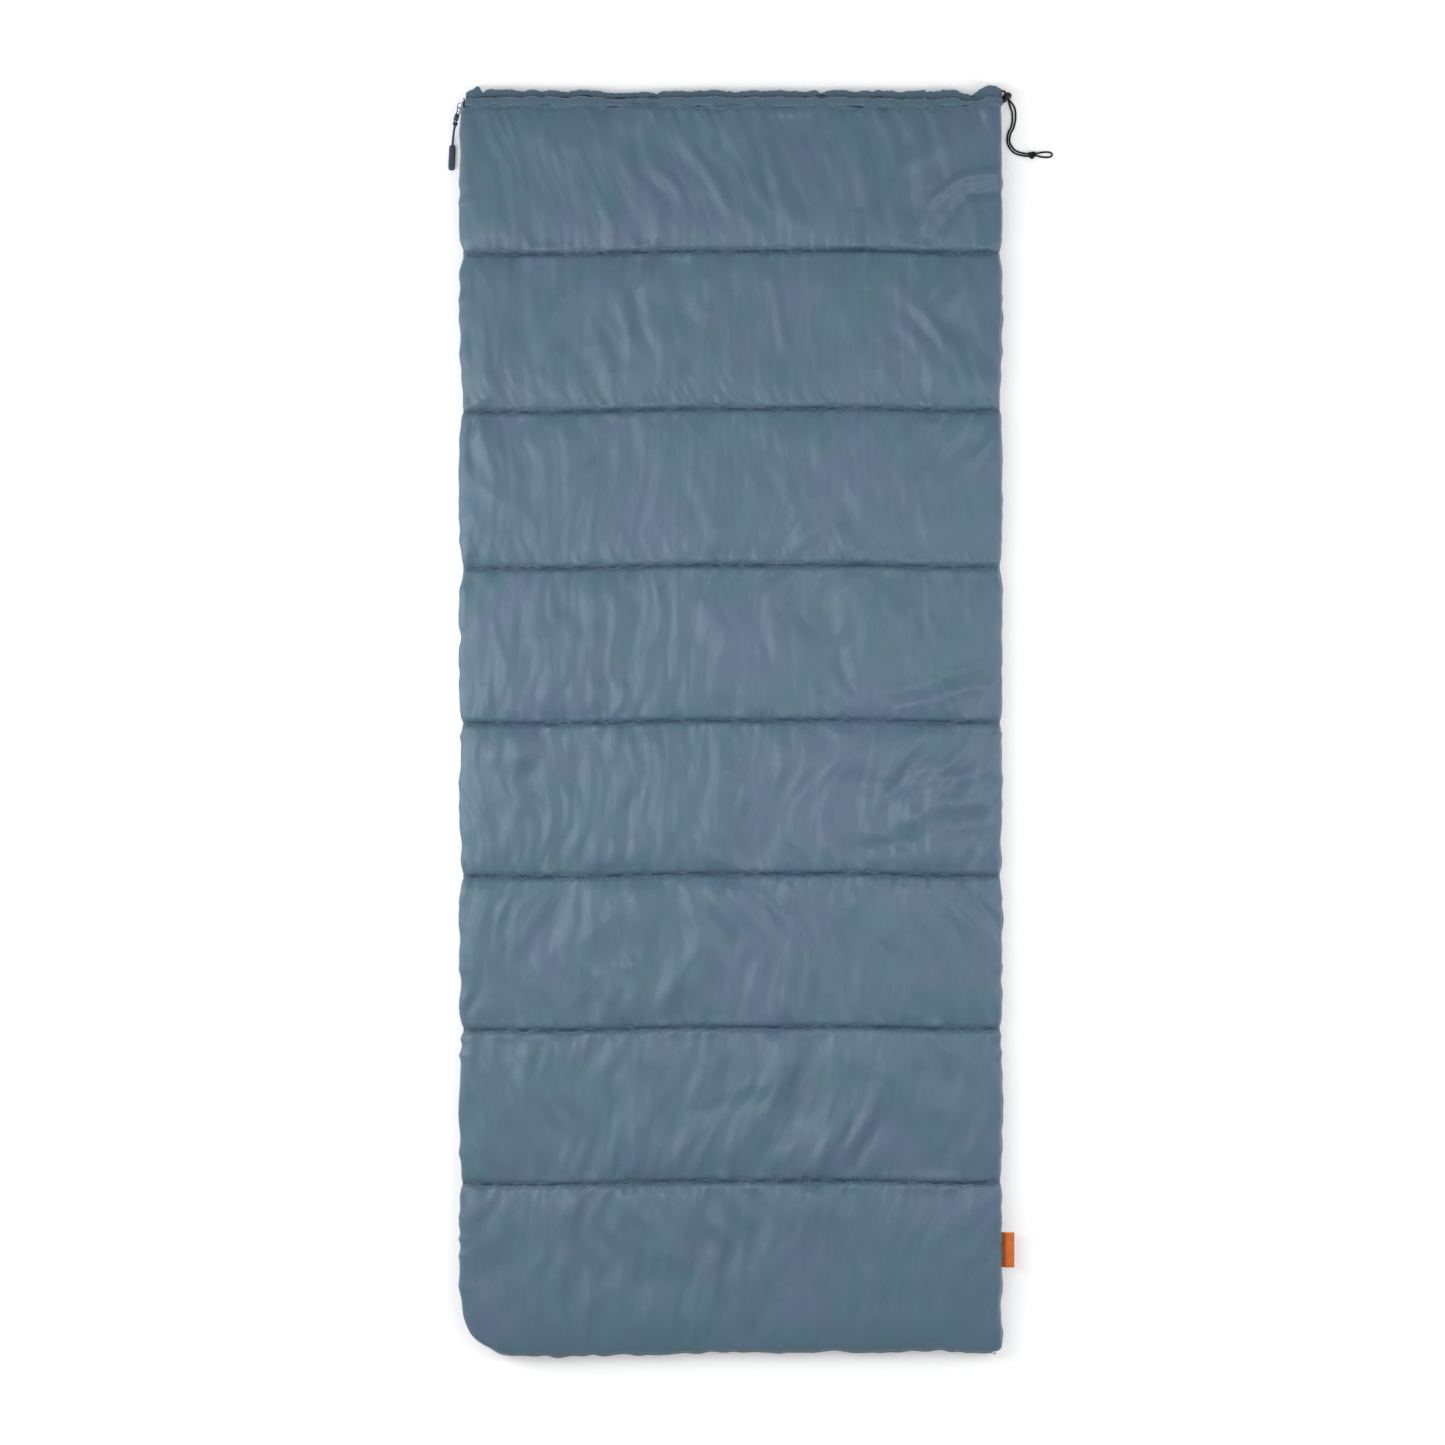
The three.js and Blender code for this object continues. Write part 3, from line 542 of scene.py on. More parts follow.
def add_drawcord(with_pieces):
    """One cord from the lower hem through the lock to the knot, and back to the upper hem."""
    lower, loop, upper = (np.array(part, float) for part in (LOWER_STRAND, LOOP, UPPER_STRAND))
    ahead = [lower[-1] * (1 - t) + loop[0] * t for t in (0.35, 0.7)]
    back = [loop[-1] * (1 - t) + upper[-1] * t for t in (0.35, 0.7)]
    route = np.vstack([lower, ahead, loop, back, upper[::-1]]) * MM
    line = catmull(route, 5)
    curve = bpy.data.curves.new("drawcord", "CURVE")
    curve.dimensions = "3D"
    curve.bevel_depth = CORD_RADIUS
    curve.bevel_resolution = 4
    curve.use_fill_caps = True
    spline = curve.splines.new("POLY")
    spline.points.add(len(line) - 1)
    for point, place in zip(spline.points, line):
        point.co = (*place, 1)
    piece = in_scene("drawcord", curve)
    finish_piece(piece, "bottom_quilt", "drawcord", BLACK_CORD,
                 "drawcord_lower_strand", "drawcord_upper_strand", "drawcord_loop")


def add_drawcord_knot():
    knot = knot_mesh("drawcord_overhand_knot", "drawcord_knot", CORD_RADIUS)
    return finish_piece(knot, "bottom_quilt", "drawcord", BLACK_CORD, "drawcord_knot")


def add_pull_knot():
    knot = knot_mesh("pull_overhand_knot", "zip_pull_knot", 1.7 * MM)
    return finish_piece(knot, "zip_pull", "pull_cord", NAVY_CORD, "zip_pull_knot")


def add_pull_cord(with_pieces):
    """A two-ply laid cord: two plies wound round its line."""
    line = resample(catmull(np.array(PULL_ROUTE, float) * MM, 8), 70)
    run = run_along(line)
    side, up = line_frames(line)
    plies = []
    for start in (0, math.pi):
        angle = (start + 2 * math.pi * run / PLY_TURN)[:, None]
        plies.append(line + PLY_RADIUS * (np.cos(angle) * side + np.sin(angle) * up))
    points, faces = tube_mesh(plies, [PLY_RADIUS * 1.08] * 2, 10)
    piece = new_mesh("pull_cord_plies", points, faces)
    finish_piece(piece, "zip_pull", "pull_cord", NAVY_CORD, "zip_pull_cord")


def add_pull_bight():
    """The ply that goes from the knot through the slot in the puller tab, and back."""
    low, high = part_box("zip_pull_knot")
    pivot = Vector(TAB["pivot"])
    along = Vector((-math.sin(TAB["lean"]), -math.cos(TAB["lean"]), 0))
    across = Vector((0, 0, math.cos(TAB["tilt"]))) - Vector((0, 0, 1)).cross(along) * math.sin(TAB["tilt"])
    face = across.cross(along)
    slot = pivot + along * TAB["slot"]
    side = [(5.5, 1.9), (2.6, 2.2), (0.3, 1.3), (0, 0)]
    route = [slot + along * (a * MM) + face * (f * MM) for a, f in side]
    route += [slot + along * (a * MM) - face * (f * MM) for a, f in side[-2::-1]]
    centre = (low + high) / 2
    line = catmull([tuple(p) for p in [centre, *route, centre]], 8)
    points, faces = tube_mesh([line], [PLY_RADIUS], 10)
    bight = new_mesh("pull_cord_bight", points, faces)
    return finish_piece(bight, "zip_pull", "pull_cord", NAVY_CORD)


# ---- moulded pieces on the cords

def add_grip():
    """The rubber grip: a flat rounded bar with finger ridges and a raised rim at its top."""
    low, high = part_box("zip_pull_grip")
    centre, half = (low + high) / 2, (high - low) / 2
    lean = math.radians(2.5)
    half_width = half.x - half.y * math.sin(lean) * 0.8
    rows, around = 90, 40
    along = np.linspace(-1, 1, rows)
    taper = (1 - np.abs(along) ** 9) ** (1 / 3)
    ridge = 0.35 * MM
    ridges = np.where(np.abs(along + 0.1) < 0.5, ridge * (0.5 + 0.5 * np.cos(along * 44)), 0.25 * MM)
    ring_x, ring_z = squared(full_turn(around), 0.62)
    x = (taper[:, None] * half_width) * ring_x
    z = (taper[:, None] * (half.z - ridge) + ridges[:, None] * taper[:, None]) * ring_z
    y = np.broadcast_to((along * half.y)[:, None], x.shape)
    cos, sin = math.cos(lean), math.sin(lean)
    points = np.stack([x * cos + y * sin, -x * sin + y * cos, z], -1)
    points = points.reshape(-1, 3) + np.asarray(centre)
    grip = new_mesh("pull_grip_moulding", points, capped_faces(rows, around))
    return finish_piece(grip, "zip_pull", "pull_rubber", NAVY_RUBBER, "zip_pull_grip")


def turned_mesh(name, profile, centre, axis):
    """A turned solid: (distance along the axis, radius) pairs, closed at both ends."""
    around = 48
    axis = Vector(axis).normalized()
    side = axis.cross(Vector((0, 0, 1))).normalized()
    up = axis.cross(side)
    angles = [2 * math.pi * i / around for i in range(around)]
    points = [Vector(centre) + axis * distance + (side * math.cos(angle) + up * math.sin(angle)) * radius
              for distance, radius in profile for angle in angles]
    return new_mesh(name, points, capped_faces(len(profile), around, flip=False))


def block_mesh(name, centre, axes, sizes):
    """A plain cutter block with its own axes, used only to cut slots."""
    points = [Vector(centre) + sum((Vector(a) * s * h for a, s, h in zip(axes, sizes, signs)), Vector())
              for signs in [(x, y, z) for x in (-0.5, 0.5) for y in (-0.5, 0.5) for z in (-0.5, 0.5)]]
    faces = [(0, 1, 3, 2), (4, 6, 7, 5), (0, 4, 5, 1), (2, 3, 7, 6), (0, 2, 6, 4), (1, 5, 7, 3)]
    return new_mesh(name, points, faces, smooth=False)


def cut_away(piece, cutters):
    """Cuts the cutters out of the piece for good and removes them."""
    for cutter in cutters:
        cut = piece.modifiers.new("cut", "BOOLEAN")
        cut.operation, cut.solver, cut.object = "DIFFERENCE", "EXACT", cutter
    bake_modifiers(piece)
    for cutter in cutters:
        bpy.data.objects.remove(cutter)


def bake_modifiers(piece):
    """Makes the result of a piece's modifiers its own mesh."""
    shown = piece.evaluated_get(bpy.context.evaluated_depsgraph_get())
    mesh = bpy.data.meshes.new_from_object(shown)
    piece.modifiers.clear()
    piece.data = mesh


def soften_edges(piece, width):
    """Rounds the edges that are sharper than thirty degrees."""
    bevel = piece.modifiers.new("soft_edges", "BEVEL")
    bevel.width, bevel.segments = width, 3
    bevel.limit_method, bevel.angle_limit = "ANGLE", math.radians(30)
    bevel.harden_normals = False


# The cord lock as the CAD has it: its middle, the ways the cords and the button go, and its sizes.
LOCK = {
    "centre": (428 * MM, 966 * MM, 8.8 * MM),
    "cords": Vector((0.42, -0.72, -0.55)).normalized(),
    "press": Vector((-0.864, -0.504, 0)).normalized(),
    "half_length": 7.9 * MM, "radius": 6.1 * MM,
    "bore": 4.6 * MM, "bore_end": -4.7 * MM, "shank": 4.2 * MM, "shank_ends": (-2.9 * MM, 7.4 * MM),
    "head": 5 * MM, "head_end": 9.4 * MM,
}


def add_cord_lock():
    """An egg-shaped body with a moulding line, and a ribbed button sprung into it."""
    press, cords = LOCK["press"], LOCK["cords"]
    side = cords.cross(press)
    axes = (press, side, cords)
    steps, tip, ridge = 40, 0.012, 0.12 * MM    # rings of the egg, its open tips, its moulding line
    egg = []
    for i in range(steps + 1):
        angle = math.pi * (tip + (1 - 2 * tip) * i / steps)
        line = ridge * math.exp(-((i - steps / 2) / 0.8) ** 2)
        egg.append((-LOCK["half_length"] * math.cos(angle), LOCK["radius"] * math.sin(angle) + line))
    body = turned_mesh("cord_lock_egg", egg, LOCK["centre"], press)
    bore = turned_mesh("bore", [(LOCK["bore_end"], LOCK["bore"]), (2 * LOCK["half_length"], LOCK["bore"])],
                       LOCK["centre"], press)
    slot = block_mesh("slot", LOCK["centre"], axes, (3.9 * MM, 7.4 * MM, 20 * MM))
    cut_away(body, [bore, slot])
    soften_edges(body, 0.3 * MM)
    finish_piece(body, "bottom_quilt", "cord_lock_plastic", BLACK_PLASTIC, "cord_lock_body")

    (inner, outer), shank = LOCK["shank_ends"], LOCK["shank"]
    head, end = LOCK["head"], LOCK["head_end"]
    profile = [(inner, shank - 0.3 * MM), (inner + 0.3 * MM, shank), (outer, shank),
               (outer, head - 0.2 * MM), (outer + 0.2 * MM, head)]
    for i in range(1, 4):
        groove = outer + 0.45 * MM * i
        profile += [(groove - 0.08 * MM, head), (groove, head - 0.15 * MM), (groove + 0.08 * MM, head)]
    profile += [(end - 0.3 * MM, head), (end - 0.05 * MM, head - 0.3 * MM), (end, head - 1.0 * MM),
                (end - 0.3 * MM, head - 1.6 * MM), (end - 0.3 * MM, 0.3 * MM)]
    button = turned_mesh("cord_lock_press_button", profile, LOCK["centre"], press)
    slot = block_mesh("slot", Vector(LOCK["centre"]) + press * 0.8 * MM, axes, (5.4 * MM, 7.2 * MM, 20 * MM))
    cut_away(button, [slot])
    button.data.polygons.foreach_set("use_smooth", [True] * len(button.data.polygons))
    finish_piece(button, "cord_lock_button", "cord_lock_plastic", BLACK_PLASTIC, "cord_lock_button")
    return body, button


# ---- plan of the quilts

LAYERS = {
    "top": {"sign": 1, "inner": SHELL_LOW.z, "head": SHELL_HIGH.y, "grid": FINE_GRID, "seed": 7},
    "bottom": {"sign": -1, "inner": BASE_HIGH.z, "head": BASE_HIGH.y, "grid": GRID, "seed": 31},
}


def corner_share(y):
    """1 above the round foot corner, down to 0 at the foot edge, as a quarter of an ellipse."""
    into = np.maximum(0, FOOT_Y + FOOT_CORNER[1] - y) / FOOT_CORNER[1]
    return np.sqrt(np.maximum(0, 1 - into ** 2))


def pinch_at(y):
    """Scallops of the side edges: in at each seam, out between them, with some unevenness."""
    y = np.asarray(y, float)
    scallop, uneven = PINCH * np.exp(-from_seams(y) / (16 * MM)), 2 * MM
    return scallop + uneven * np.abs(line_noise(y, 0.018, SEED + 5))


def head_inset(y, head, radius):
    """How far a quilt's side turns in at its head corner."""
    into = np.clip((np.asarray(y, float) - (head + HEAD_TUCK - radius)) / radius, 0, 1)
    return radius * (1 - np.sqrt(1 - into ** 2))


def left_edge(y):
    return LEFT_X + FOOT_CORNER[0] * (1 - corner_share(y))


def lip_edge(y):
    return LIP_X + (FOOT_CORNER[0] + LEFT_X - LIP_X) * (1 - corner_share(y))


def right_edge(y):
    into = np.maximum(0, FOOT_Y + SIDE_CORNER - y)
    return RIGHT_X - SIDE_CORNER + np.sqrt(np.maximum(0, SIDE_CORNER ** 2 - into ** 2)) - 0.6 * pinch_at(y)


def rise(distance, reach):
    """A quarter of an ellipse: from 0 at the seam to 1 at reach from it."""
    t = np.clip(np.asarray(distance, float) / reach, 0, 1)
    return np.sqrt(1 - (1 - t) ** 2)


def loft_at(y, head):
    """Thickness of a quilt along the bag, before its cloth swells."""
    sewn = [(seam, SEAM_LOFT, SEAM_REACH) for seam in SEAMS]
    sewn += [(FOOT_Y, FOOT_LOFT, FOOT_REACH), (head, HEM_LOFT, HEM_REACH)]
    return np.min([base + (CROWN - base) * rise(np.abs(y - at), reach) for at, base, reach in sewn], axis=0)


def quilt_arch(y, loft, head):
    """Half outline across a quilt at one station, as (x, height) from the lip to the fold."""
    soft = loft / LOFT
    pinch = pinch_at([y])[0] * (1 if corner_share(y) > 0.5 else 0)
    left = left_edge(y) + max(pinch, head_inset(y, head, 15 * MM))
    lip = max(lip_edge(y), left + 0.5 * MM)
    right = right_edge(np.array([y]))[0] - head_inset(y, head, 5 * MM)
    crown = [0, 30 * MM, 75 * MM, 160 * MM]
    points = [
        (lip, 0), (left + (lip - left) * 0.14, 0.18 * loft), (left, 0.38 * loft),
        (left + 3 * MM * soft, 0.62 * loft), (left + 13 * MM * soft, 0.87 * loft),
        *[(left + SHOULDER * soft + run, loft) for run in crown],
        *[(right - SHOULDER * soft - run, loft) for run in reversed(crown)],
        (right - 13 * MM * soft, 0.84 * loft), (right - 4 * MM * soft, 0.56 * loft),
        (right - 0.6 * MM, 0.24 * loft), (right, 0),
    ]
    return catmull(points, 6)


def channel_rows(head, grid):
    """Places of the rows of cloth along the bag: one on every seam, closer ones at the round corner."""
    edges = [FOOT_Y, *SEAMS, head]
    rows = [np.linspace(a, b, max(2, round((b - a) / grid)), endpoint=False)
            for a, b in zip(edges, edges[1:])]
    corner = FOOT_Y + FOOT_CORNER[1] * np.array([0.004, 0.018, 0.042])
    return np.concatenate([rows[0][:1], corner, rows[0][1:], *rows[1:], [head]])


def sample_grid(grid, rows, columns):
    """Smooth values of a grid of points at fractional rows and columns."""
    def along(values, places):
        count = values.shape[0]
        first = np.clip(np.floor(places).astype(int), 0, count - 2)
        around = [values[np.clip(first + k, 0, count - 1)] for k in (-1, 0, 1, 2)]
        return cubic(around, (places - first)[:, None, None])

    return along(along(grid, rows).transpose(1, 0, 2), columns).transpose(1, 0, 2)


# Cloth settings that gather the shell as the filling and the quilting do.
CLOTH = {
    "tension_stiffness": 15, "compression_stiffness": 15, "shear_stiffness": 5, "bending_stiffness": 0.6,
    "tension_damping": 5, "compression_damping": 5, "shear_damping": 5, "bending_damping": 0.5,
    "mass": 0.3, "quality": 5, "air_damping": 1, "pin_stiffness": 1,
}


def settle(grid, pinned, hold, spare, widen, pressure, frames, cap, seed):
    """Cloth simulation of a grid of points, with more cloth than fits, so that it wrinkles.

    pinned points stay; the others are held softly by hold. spare is the least and most share
    of extra cloth, widen the extra share across the bag, and cap how far a point may move.
    """
    rows, columns = grid.shape[:2]
    cloth = new_mesh("cloth", grid.reshape(-1, 3), grid_faces(rows, columns))
    noise = np.clip(0.5 + 0.45 * cloud(grid[:, :, 0], grid[:, :, 1], (0.05, 0.06), seed), 0, 1)
    pin, shrink = cloth.vertex_groups.new(name="pin"), cloth.vertex_groups.new(name="shrink")
    for i, (fixed, share) in enumerate(zip(pinned.ravel(), noise.ravel())):
        pin.add([i], 1.0 if fixed else hold, "REPLACE")
        shrink.add([i], float(share), "REPLACE")
    cloth.shape_key_add(name="Basis")
    wide = cloth.shape_key_add(name="wide")
    flat = grid.reshape(-1, 3).copy()
    flat[:, 0] *= 1 + widen
    wide.data.foreach_set("co", flat.ravel())
    wide.value = 0
    modifier = cloth.modifiers.new("cloth", "CLOTH")
    settings = modifier.settings
    for name, value in CLOTH.items():
        setattr(settings, name, value)
    settings.vertex_group_mass = "pin"
    settings.vertex_group_shrink = "shrink"
    settings.shrink_min, settings.shrink_max = -spare[0], -spare[1]
    settings.rest_shape_key = wide
    settings.use_pressure = True
    settings.uniform_pressure_force = pressure
    settings.effector_weights.gravity = 0
    modifier.collision_settings.use_collision = False
    modifier.point_cache.frame_end = frames
    scene = bpy.context.scene
    scene.frame_start, scene.frame_end = 1, frames
    for frame_number in range(1, frames + 1):
        scene.frame_set(frame_number)
    shown = cloth.evaluated_get(bpy.context.evaluated_depsgraph_get())
    moved = np.empty(rows * columns * 3, np.float32)
    shown.to_mesh().vertices.foreach_get("co", moved)
    shown.to_mesh_clear()
    scene.frame_set(1)
    bpy.data.objects.remove(cloth)
    shift = moved.reshape(grid.shape) - grid
    size = np.linalg.norm(shift, axis=-1, keepdims=True)
    return grid + shift * np.where(size > 0, cap * np.tanh(size / cap) / np.maximum(size, 1e-9), 1)


CALM = (-0.265, 0.845, 0.15, 0.1)       # the smoothest part, in metres: its middle and its reach

# The larger creases: both ends (x, y), half width, and height, in millimetres.
CREASES = [
    ((420, 846), (352, 832), 9, 6), ((356, 834), (312, 796), 9, 6.5), ((314, 800), (298, 748), 8, 5.5),
    ((420, 812), (366, 802), 8, -4.5), ((368, 803), (330, 750), 8, -4.5),
    ((330, 900), (250, 850), 14, 3), ((60, 885), (84, 815), 9, 3.5), ((84, 815), (104, 745), 11, 3.5),
    ((46, 880), (72, 800), 8, -2.5), ((-122, 700), (-146, 610), 13, 3.5),
    ((-146, 610), (-150, 520), 10, 3), ((68, 700), (84, 565), 9, 3), ((-28, 648), (-84, 540), 9, -3),
    ((250, 690), (330, 560), 14, 2.5), ((-210, 400), (-262, 310), 12, 3),
    ((-96, 420), (-118, 300), 9, 3), ((150, 330), (160, 250), 8, -2.5), ((395, 94), (225, 52), 13, -3.5),
    ((400, 60), (250, 30), 12, 3), ((402, -84), (165, -104), 14, -3.5),
    ((408, -150), (190, -200), 15, -4), ((412, -120), (250, -150), 12, 3.5),
    ((-60, -330), (-110, -450), 12, 3), ((60, -585), (-60, -600), 14, -3),
    ((240, -520), (200, -640), 12, 3), ((-300, -60), (-350, -200), 12, 2.5),
    ((-330, -560), (-280, -680), 11, 2.5),
]


def crease_heights(x, y):
    """Height of the larger creases, each a soft ridge or dip that fades out at its ends."""
    wander = 6 * MM * cloud(x, y, (0.05, 0.05), SEED + 21)
    total = np.zeros(np.broadcast(x, y).shape)
    for (x0, y0), (x1, y1), width, height in np.array(CREASES, dtype=object):
        start, run = np.array((x0, y0)) * MM, np.array((x1 - x0, y1 - y0)) * MM
        length = np.linalg.norm(run)
        ahead = run / length
        along = ((x - start[0]) * ahead[0] + (y - start[1]) * ahead[1]) / length
        across = (x - start[0]) * ahead[1] - (y - start[1]) * ahead[0] + wander
        fade = smoothstep(-0.2, 0.25, along) * (1 - smoothstep(0.75, 1.2, along))
        total += height * MM * np.exp(-(across / (width * MM)) ** 2) * fade
    return total


def fold_heights(x, y, seed):
    """Height of the soft folds, which lie mostly along the bag and lean one way or the other."""
    x_leant = x + 19 * MM * cloud(x, y, (0.15, 0.12), seed) + 7 * MM * cloud(x, y, (0.06, 0.045), seed + 1)
    busy = 0.4 + 0.85 * smoothstep(-0.9, 0.9, cloud(x, y, (0.11, 0.13), seed + 5))
    busy *= 1 - 0.8 * np.exp(-((x - CALM[0]) / CALM[2]) ** 2 - ((y - CALM[1]) / CALM[3]) ** 2)
    fine = (1.6 * cloud(x_leant, y, (0.016, 0.06), seed + 2)
            + 0.8 * cloud(x_leant, y, (0.009, 0.03), seed + 3))
    return MM * (busy * fine + 1.4 * cloud(x, y, (0.05, 0.1), seed + 4))


def crumple_heights(x, y, seed):
    """Height of the small sharp creases, in patches: ridges where a soft noise changes sign."""
    x_bent = x + 14 * MM * cloud(x, y, (0.09, 0.07), seed)
    ridge = 0.8 - np.abs(cloud(x_bent, y, (0.028, 0.05), seed + 1))
    patch = smoothstep(-0.6, 0.9, cloud(x, y, (0.07, 0.09), seed + 2))
    return CRUMPLE * ridge * patch


def shell_start(layer):
    """The shell's surface before it settles: a grid of points and the places of its rows."""
    head = layer["head"]
    places = channel_rows(head, layer["grid"])
    columns = round(run_along(quilt_arch(0.0, CROWN, head))[-1] / layer["grid"])
    lofts = loft_at(places, head)
    rows = [(y, resample(quilt_arch(y, loft, head), columns)) for y, loft in zip(places, lofts)]
    foot = rows[0][1]
    ends = [(FOOT_Y, foot * (1, share)) for share in (0.05, 0.5)]
    tuck = [(head + run * HEAD_TUCK, share * HEM_LOFT)
            for run, share in ((0.5, 0.98), (0.9, 0.9), (0.97, 0.5), (1.0, 0.04))]
    rows = ends + rows + [(y, resample(quilt_arch(y, loft, head), columns)) for y, loft in tuck]
    grid = np.array([[(x, y, height) for x, height in arch] for y, arch in rows])
    places = np.array([y for y, _ in rows])
    away = np.min([np.abs(np.minimum(places, head) - at) for at in [*SEAMS, FOOT_Y, head]], axis=0)
    x, y = grid[:, :, 0], grid[:, :, 1]
    folds = fold_heights(x, y, layer["seed"]) + (crease_heights(x, y) if layer["sign"] > 0 else 0)
    folds *= np.clip(grid[:, :, 2] / CROWN, 0, 1) ** 2
    grid[:, :, 2] += folds * smoothstep(0, 22 * MM, away)[:, None]
    grid[:, :, 2] = layer["inner"] + layer["sign"] * grid[:, :, 2]
    return grid, places


def seam_rows(places):
    return [int(np.argmin(np.abs(places - seam))) for seam in SEAMS]


def fine_places(count, marks):
    """Fractional rows: even steps, with closer ones beside the marked rows."""
    places = set(np.round(np.arange(0, count - 1 + 1e-6, SPLIT), 3))
    for mark in marks:
        for step in (-0.2, 0.2):
            places.add(round(mark + step, 3))
    return np.array(sorted(p for p in places if 0 <= p <= count - 1))


def held_points(places, columns, seams, head):
    """Which points of a sheet of cloth are held: its edges and its seams."""
    held = np.zeros((len(places), columns), bool)
    held[:, [0, -1]] = True
    held[(places < FOOT_Y + 5 * MM) | (places >= head - 1e-6)] = True
    held[seams] = True
    return held


def in_fine_steps(grid, places, seams):
    """The settled cloth in finer steps, and where each of its rows was before it settled."""
    at_rows = fine_places(len(places), seams)
    at_columns = np.arange(0, grid.shape[1] - 1 + 1e-6, SPLIT)
    return sample_grid(grid, at_rows, at_columns), np.interp(at_rows, np.arange(len(places)), places)


def cloth_mesh(name, points, y_rest, head, flip):
    """Bends the cloth's seams and makes its mesh, with the marks that its material reads."""
    bend_seams(points, head)
    piece = new_mesh(name, points.reshape(-1, 3), grid_faces(*points.shape[:2], flip=flip))
    mark_seams(piece.data, np.repeat(from_seams(y_rest), points.shape[1]))
    return piece


def from_seams(y):
    """Distance to the nearest quilting seam."""
    return np.min([np.abs(y - seam) for seam in SEAMS], axis=0)


def add_puckers(points, y_rest, head, sign, seed):
    """Fine gathers that run out from each seam, set on the settled cloth but not on its side walls."""
    x = points[:, :, 0]
    from_side = np.minimum(x - x.min(axis=1, keepdims=True), x.max(axis=1, keepdims=True) - x)
    lying = smoothstep(3 * MM, 15 * MM, from_side)
    for number, seam in enumerate([*SEAMS, head]):
        for side in (-1, 1):
            away = (y_rest - seam) * side
            rows = np.where((away > 0.5 * MM) & (away < 60 * MM))[0]
            if not len(rows):
                continue
            at, run, own = x[rows].ravel(), np.repeat(away[rows], x.shape[1]), seed + 20 * number + side
            slant = 0.25 * line_noise([0.1 * number], 0.1, seed + number)[0]
            fine = line_noise(at + slant * run, GATHER_PITCH, own)
            broad = line_noise(at, PLEAT_PITCH, own + 5)
            reach_seed = int(np.random.default_rng(seed + 10 * number + side).integers(1e6))
            reach = GATHER_RUN[0] + GATHER_RUN[1] * np.abs(line_noise(at, 0.02, reach_seed))
            fade = np.clip(run / (3 * MM), 0, 1) * np.exp(-run / reach)
            gathers = (GATHER_DEPTH * fine + PLEAT_DEPTH * broad) * (HEAD_GATHER if seam == head else 1)
            points[rows, :, 2] += sign * (gathers * fade).reshape(len(rows), -1) * lying[rows]


def foot_wander(x, y):
    """How far the cloth by the foot moves along the bag, so that the foot edge is not ruled."""
    bow = FOOT_BOW[0] + (FOOT_BOW[1] - FOOT_BOW[0]) * smoothstep(LEFT_X + 0.2, LEFT_X + 0.42, x)
    ripple = (1.1 * MM * line_noise(np.ravel(x), 0.012, SEED + 21)
              + 0.6 * MM * line_noise(np.ravel(x), 0.05, SEED + 22))
    return (bow + ripple.reshape(np.shape(x))) * (1 - smoothstep(FOOT_Y + 0.005, FOOT_Y + 0.1, y))


def bend_seams(points, head):
    """Moves the cloth along the bag: its seams dip at the zip side, and no edge of it is ruled."""
    x, y = points[..., 0], points[..., 1]
    keep = smoothstep(FOOT_Y + 0.03, FOOT_Y + 0.16, y)
    keep *= 1 - smoothstep(SEAMS[-1] + 0.08, SEAMS[-1] + 0.2, y)
    dip = -SEAM_DIP * (1 - smoothstep(LEFT_X, LEFT_X + 0.22, x))
    wander = 1.4 * MM * line_noise(x.ravel(), 0.09, SEED + 3).reshape(x.shape)
    over_hem = 1.5 * MM * (1 + line_noise(x.ravel(), 0.014, SEED + 23).reshape(x.shape))
    points[..., 1] += keep * (dip + wander) + foot_wander(x, y) + over_hem * smoothstep(head - 0.03, head, y)


def mark_seams(mesh, distances):
    """Stores how near each point is to a seam, for the painted shade along the cloth's seams and for its
    gathers.
    """
    distances = np.asarray(distances, float).ravel()
    for name, reach, power in (("seam_shade_share", SEAM_SHADE_REACH, 2), ("gather_share", GATHER_MARK, 1)):
        attribute = mesh.attributes.new(name, "FLOAT", "POINT")
        attribute.data.foreach_set("value", np.exp(-(distances / reach) ** power).astype(np.float32))


def add_shell(name):
    """The outer cloth of one quilt over its filling."""
    layer = LAYERS[name]
    grid, places = shell_start(layer)
    sign, inner, head, seed = (layer[key] for key in ("sign", "inner", "head", "seed"))
    seams = seam_rows(places)
    held = held_points(places, grid.shape[1], seams, head)
    grid = settle(grid, held, hold=0.05, spare=(0.02, 0.07), widen=0.02, pressure=0.3,
                  frames=30, cap=10 * MM, seed=seed + 2)
    points, y_rest = in_fine_steps(grid, places, seams)
    add_puckers(points, y_rest, head, sign, seed + 50)
    x, y = points[:, :, 0], points[:, :, 1]
    x_leant = x + 19 * MM * cloud(x, y, (0.15, 0.12), seed)
    points[:, :, 2] += sign * 0.3 * MM * cloud(x_leant, y, (0.0048, 0.03), seed + 70)
    fade = smoothstep(2 * MM, 20 * MM, from_seams(y_rest))[:, None]
    fade = fade * smoothstep(0.5 * CROWN, CROWN, (points[:, :, 2] - inner) * sign)
    points[:, :, 2] += sign * fade * crumple_heights(x, y, seed + 80)
    depth, ease = (points[:, :, 2] - inner) * sign, 3 * MM
    over = depth - SWELL_LIMIT + ease
    points[:, :, 2] = inner + sign * np.where(over > 0, SWELL_LIMIT - ease * np.exp(-over / ease), depth)
    if sign < 0:                # the cloth that lies on the floor
        points[:, :, 2] = np.maximum(points[:, :, 2], FLOOR_GAP)
    piece = cloth_mesh(f"{name}_shell_cloth", points, y_rest, head, sign < 0)
    finish_piece(piece, f"{name}_quilt", "shell_fabric", SHELL_CLOTH, f"{name}_shell", f"{name}_insulation")
    return [points[np.argmin(np.abs(y_rest - seam))] for seam in SEAMS]


